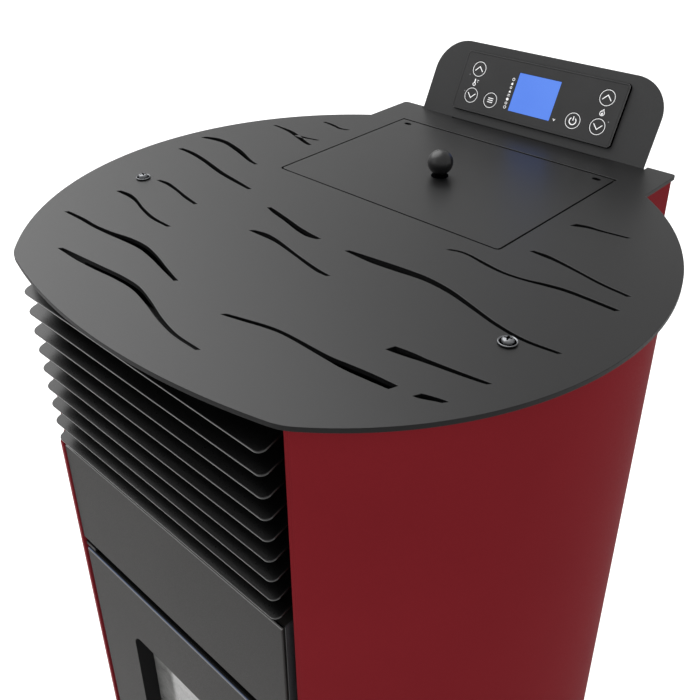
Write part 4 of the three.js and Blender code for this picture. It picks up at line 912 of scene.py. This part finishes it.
# The window reveal of the door is painted black: painted shade.
accent(frame_skin, SHADE_BLACK, lambda c, n: abs(c.x) < 84 and 271 < c.z < 645 and c.y > -217.6 and n.y > -0.5 and abs(c.x * n.x) + abs((c.z - 458) * n.z) > 30 and (c.x * n.x < -1 or (c.z - 458) * n.z < -1))
refine("door_glass", PANE, 0.5)
refine("door_gasket", ROPE, 2.2, 4, angle=50)
refine("door_hinge_upper", PRIMER_AND_SHADE, 0.3)
refine("door_hinge_lower", PRIMER_AND_SHADE, 0.3)
refine("door_handle", STEEL, 0.5, 2, angle=40)

# ------------------------------------------------------------------ inside
refine("firebox", IRON, 0.5)
refine("firebox_liner", LINER, 0.8)
refine("smoke_baffle", IRON, 0.4)
refine("burn_pot", IRON, 0.4)
refine("igniter", STEEL, 0.4)
refine("ash_drawer", CHARCOAL, 0.6)
bin_skin = refine("hopper", GALV, 0.3)
# The front faces of the hopper are painted dark: painted shade inside the body.
accent(bin_skin, PRIMER_AND_SHADE, lambda c, n: c.y < 45.5 and n.y < -0.4)
refine("auger_tube", GALV, 0.0, angle=30)
refine("auger_screw", GALV, 0.0, angle=40)
refine("auger_gearmotor", CAST, 0.8)
refine("exhaust_fan_housing", CAST, 0.0, angle=30)
refine("exhaust_impeller", CAST, 0.0, angle=30)
refine("room_fan_housing", GALV, 0.3)
refine("room_fan_rotor", CAST, 0.0, angle=30)

# ------------------------------------------------------------------ back and feet
back = Matrix.Rotation(math.radians(-90), 4, "X")


def pipe(x, z, profile):
    return lathe(profile, Matrix.Translation((x, 0, z)) @ back, 80)


piece("flue_pipe", pipe(-60, 170, [(38, 190.3), (48, 190.3), (48, 193), (40, 193), (40, 295.4), (41.4, 296.2), (42, 297.4), (42, 298.6), (41.4, 299.8), (40, 300.6), (40, 325.4), (39.6, 326), (38.4, 326), (38, 325.6), (38, 190.3)]), IRON, "flue_outlet")
# Cover rings round both pipes and the screws that hold the rear panel.
rings = [pipe(x, z, [(r, 279), (r + 13, 279), (r + 13.4, 279.3), (r + 13.2, 279.9), (r + 11, 280.5), (r + 1, 280.5), (r, 280.1), (r, 279)]) for x, z, r in ((-60, 170, 40.5), (85, 170, 25.5))]
piece("pipe_cover_rings", merge(rings), IRON, body="casing")
cross = [(1.6, -0.28), (1.6, 0.28), (0.4, 0.4), (0.28, 1.6), (-0.28, 1.6), (-0.4, 0.4), (-1.6, 0.28), (-1.6, -0.28), (-0.4, -0.4), (-0.28, -1.6), (0.28, -1.6), (0.4, -0.4)]
heads = []
for x, z in [(sx * 137, z) for sx in (-1, 1) for z in (52, 290, 530, 770, 1012)] + [(0, 1022), (-112, 170), (-8, 170), (85, 208.5), (85, 131.5)]:
    spot = Matrix.Translation((x, 278.85 if abs(x) > 130 or z > 1000 else 279.2, z)) @ back
    r = 4.2 if abs(x) > 130 or z > 1000 else 2.6
    cap = lathe([(0, 0), (r, 0), (r, r * 0.12), (r * 0.93, r * 0.3), (r * 0.74, r * 0.46), (r * 0.45, r * 0.56), (0, r * 0.6)], spot, 40)
    heads.append(cut(cap, slab([[(a * r / 4.2, b * r / 4.2) for a, b in cross]], r * 0.22, r, 0.02, spot)))
piece("rear_screws", merge(heads), ZINC, body="casing")
piece("intake_pipe", pipe(85, 170, [(23, 200), (25, 200), (25, 313.6), (24.7, 314), (23.3, 314), (23, 313.6), (23, 200)]), GALV, "air_intake_pipe")
refine("mains_inlet", SHELL, 0.3)
refine("mains_switch", SHELL, 0.4)
for node, x, y in (("foot_front_left", -132, -165), ("foot_front_right", 132, -165), ("foot_rear_left", -130, 225), ("foot_rear_right", 130, 225)):
    t = Matrix.Translation((x, y, 0))
    pad = lathe([(0, 0), (17.6, 0), (18.6, 0.3), (19.7, 1.2), (20, 2), (20, 5.4), (19.4, 6.6), (17, 8.6), (14, 9.4), (9.2, 10), (9.2, 11.8), (0, 11.8)], t, 56)
    hexagon = [(9.7 * math.cos(math.radians(60 * k + 30)), 9.7 * math.sin(math.radians(60 * k + 30))) for k in range(6)]
    nut = slab([hexagon], 11.7, 24.5, 0.6, t)
    stem = []
    for k in range(24):
        z = 24.4 + k * 1.5
        stem += [(5.0, z), (4.5, z + 0.75)]
    stem = [(0, 24.3), (4.5, 24.3)] + stem[1:] + [(4.2, 62), (0, 62)]
    thread = lathe([p for p in stem if p[1] <= 62], t, 32)
    piece(f"{node}_set", merge([pad, nut, thread]), ZINC, node)


# ------------------------------------------------------------------ floor and light
def make_floor():
    s = Shader("floor", Roughness=0.7, Specular_IOR_Level=0.1)
    cloud = s.noise(1.2, 2, 0.5)
    s.colour(s.ramp(cloud, [(0.3, (0.93, 0.93, 0.93)), (0.7, (0.95, 0.95, 0.95))]))
    s.bsdf.inputs["Emission Color"].default_value = (1, 1, 1, 1)
    s.bsdf.inputs["Emission Strength"].default_value = 0.11
    mesh = bpy.data.meshes.new("floor")
    mesh.from_pydata([(-30, -30, 0), (30, -30, 0), (30, 30, 0), (-30, 30, 0)], [], [(0, 1, 2, 3)])
    obj = bpy.data.objects.new("floor", mesh)
    mesh.materials.append(s.mat)
    obj.location.z = -0.0002
    bpy.context.scene.collection.objects.link(obj)


def area(name, place, aim, size, power, colour=(1, 1, 1), height=None):
    data = bpy.data.lights.new(name, "AREA")
    data.shape = "RECTANGLE"
    data.size, data.size_y = size, height or size
    data.energy = power
    data.color = colour
    obj = bpy.data.objects.new(name, data)
    obj.location = place
    obj.rotation_mode = "QUATERNION"
    obj.rotation_quaternion = (Vector(aim) - Vector(place)).to_track_quat("-Z", "Y")
    bpy.context.scene.collection.objects.link(obj)


make_floor()
world = bpy.data.worlds.new("world")
bpy.context.scene.world = world
world.use_nodes = True
sky = next(n for n in world.node_tree.nodes if n.type == "BACKGROUND")
sky.inputs["Color"].default_value = (1, 1, 1, 1)
sky.inputs["Strength"].default_value = 0.67


def soft_sun(name, azimuth, elevation, energy, spread):
    """A wide soft source far away, seen in the direction azimuth, elevation."""
    data = bpy.data.lights.new(name, "SUN")
    data.energy = energy
    data.angle = math.radians(spread)
    obj = bpy.data.objects.new(name, data)
    obj.rotation_mode = "QUATERNION"
    a, e = math.radians(azimuth), math.radians(elevation)
    obj.rotation_quaternion = Vector((-math.cos(a) * math.cos(e), -math.sin(a) * math.cos(e), -math.sin(e))).to_track_quat("-Z", "Y")
    bpy.context.scene.collection.objects.link(obj)


soft_sun("side_soft", 179, 53, 3.2, 68)
area("front_soft", (-1.6, -3.0, 2.2), (0, -0.2, 0.7), 1.8, 8)
bpy.context.scene.view_settings.view_transform = "Standard"
bpy.context.scene.view_settings.look = "None"
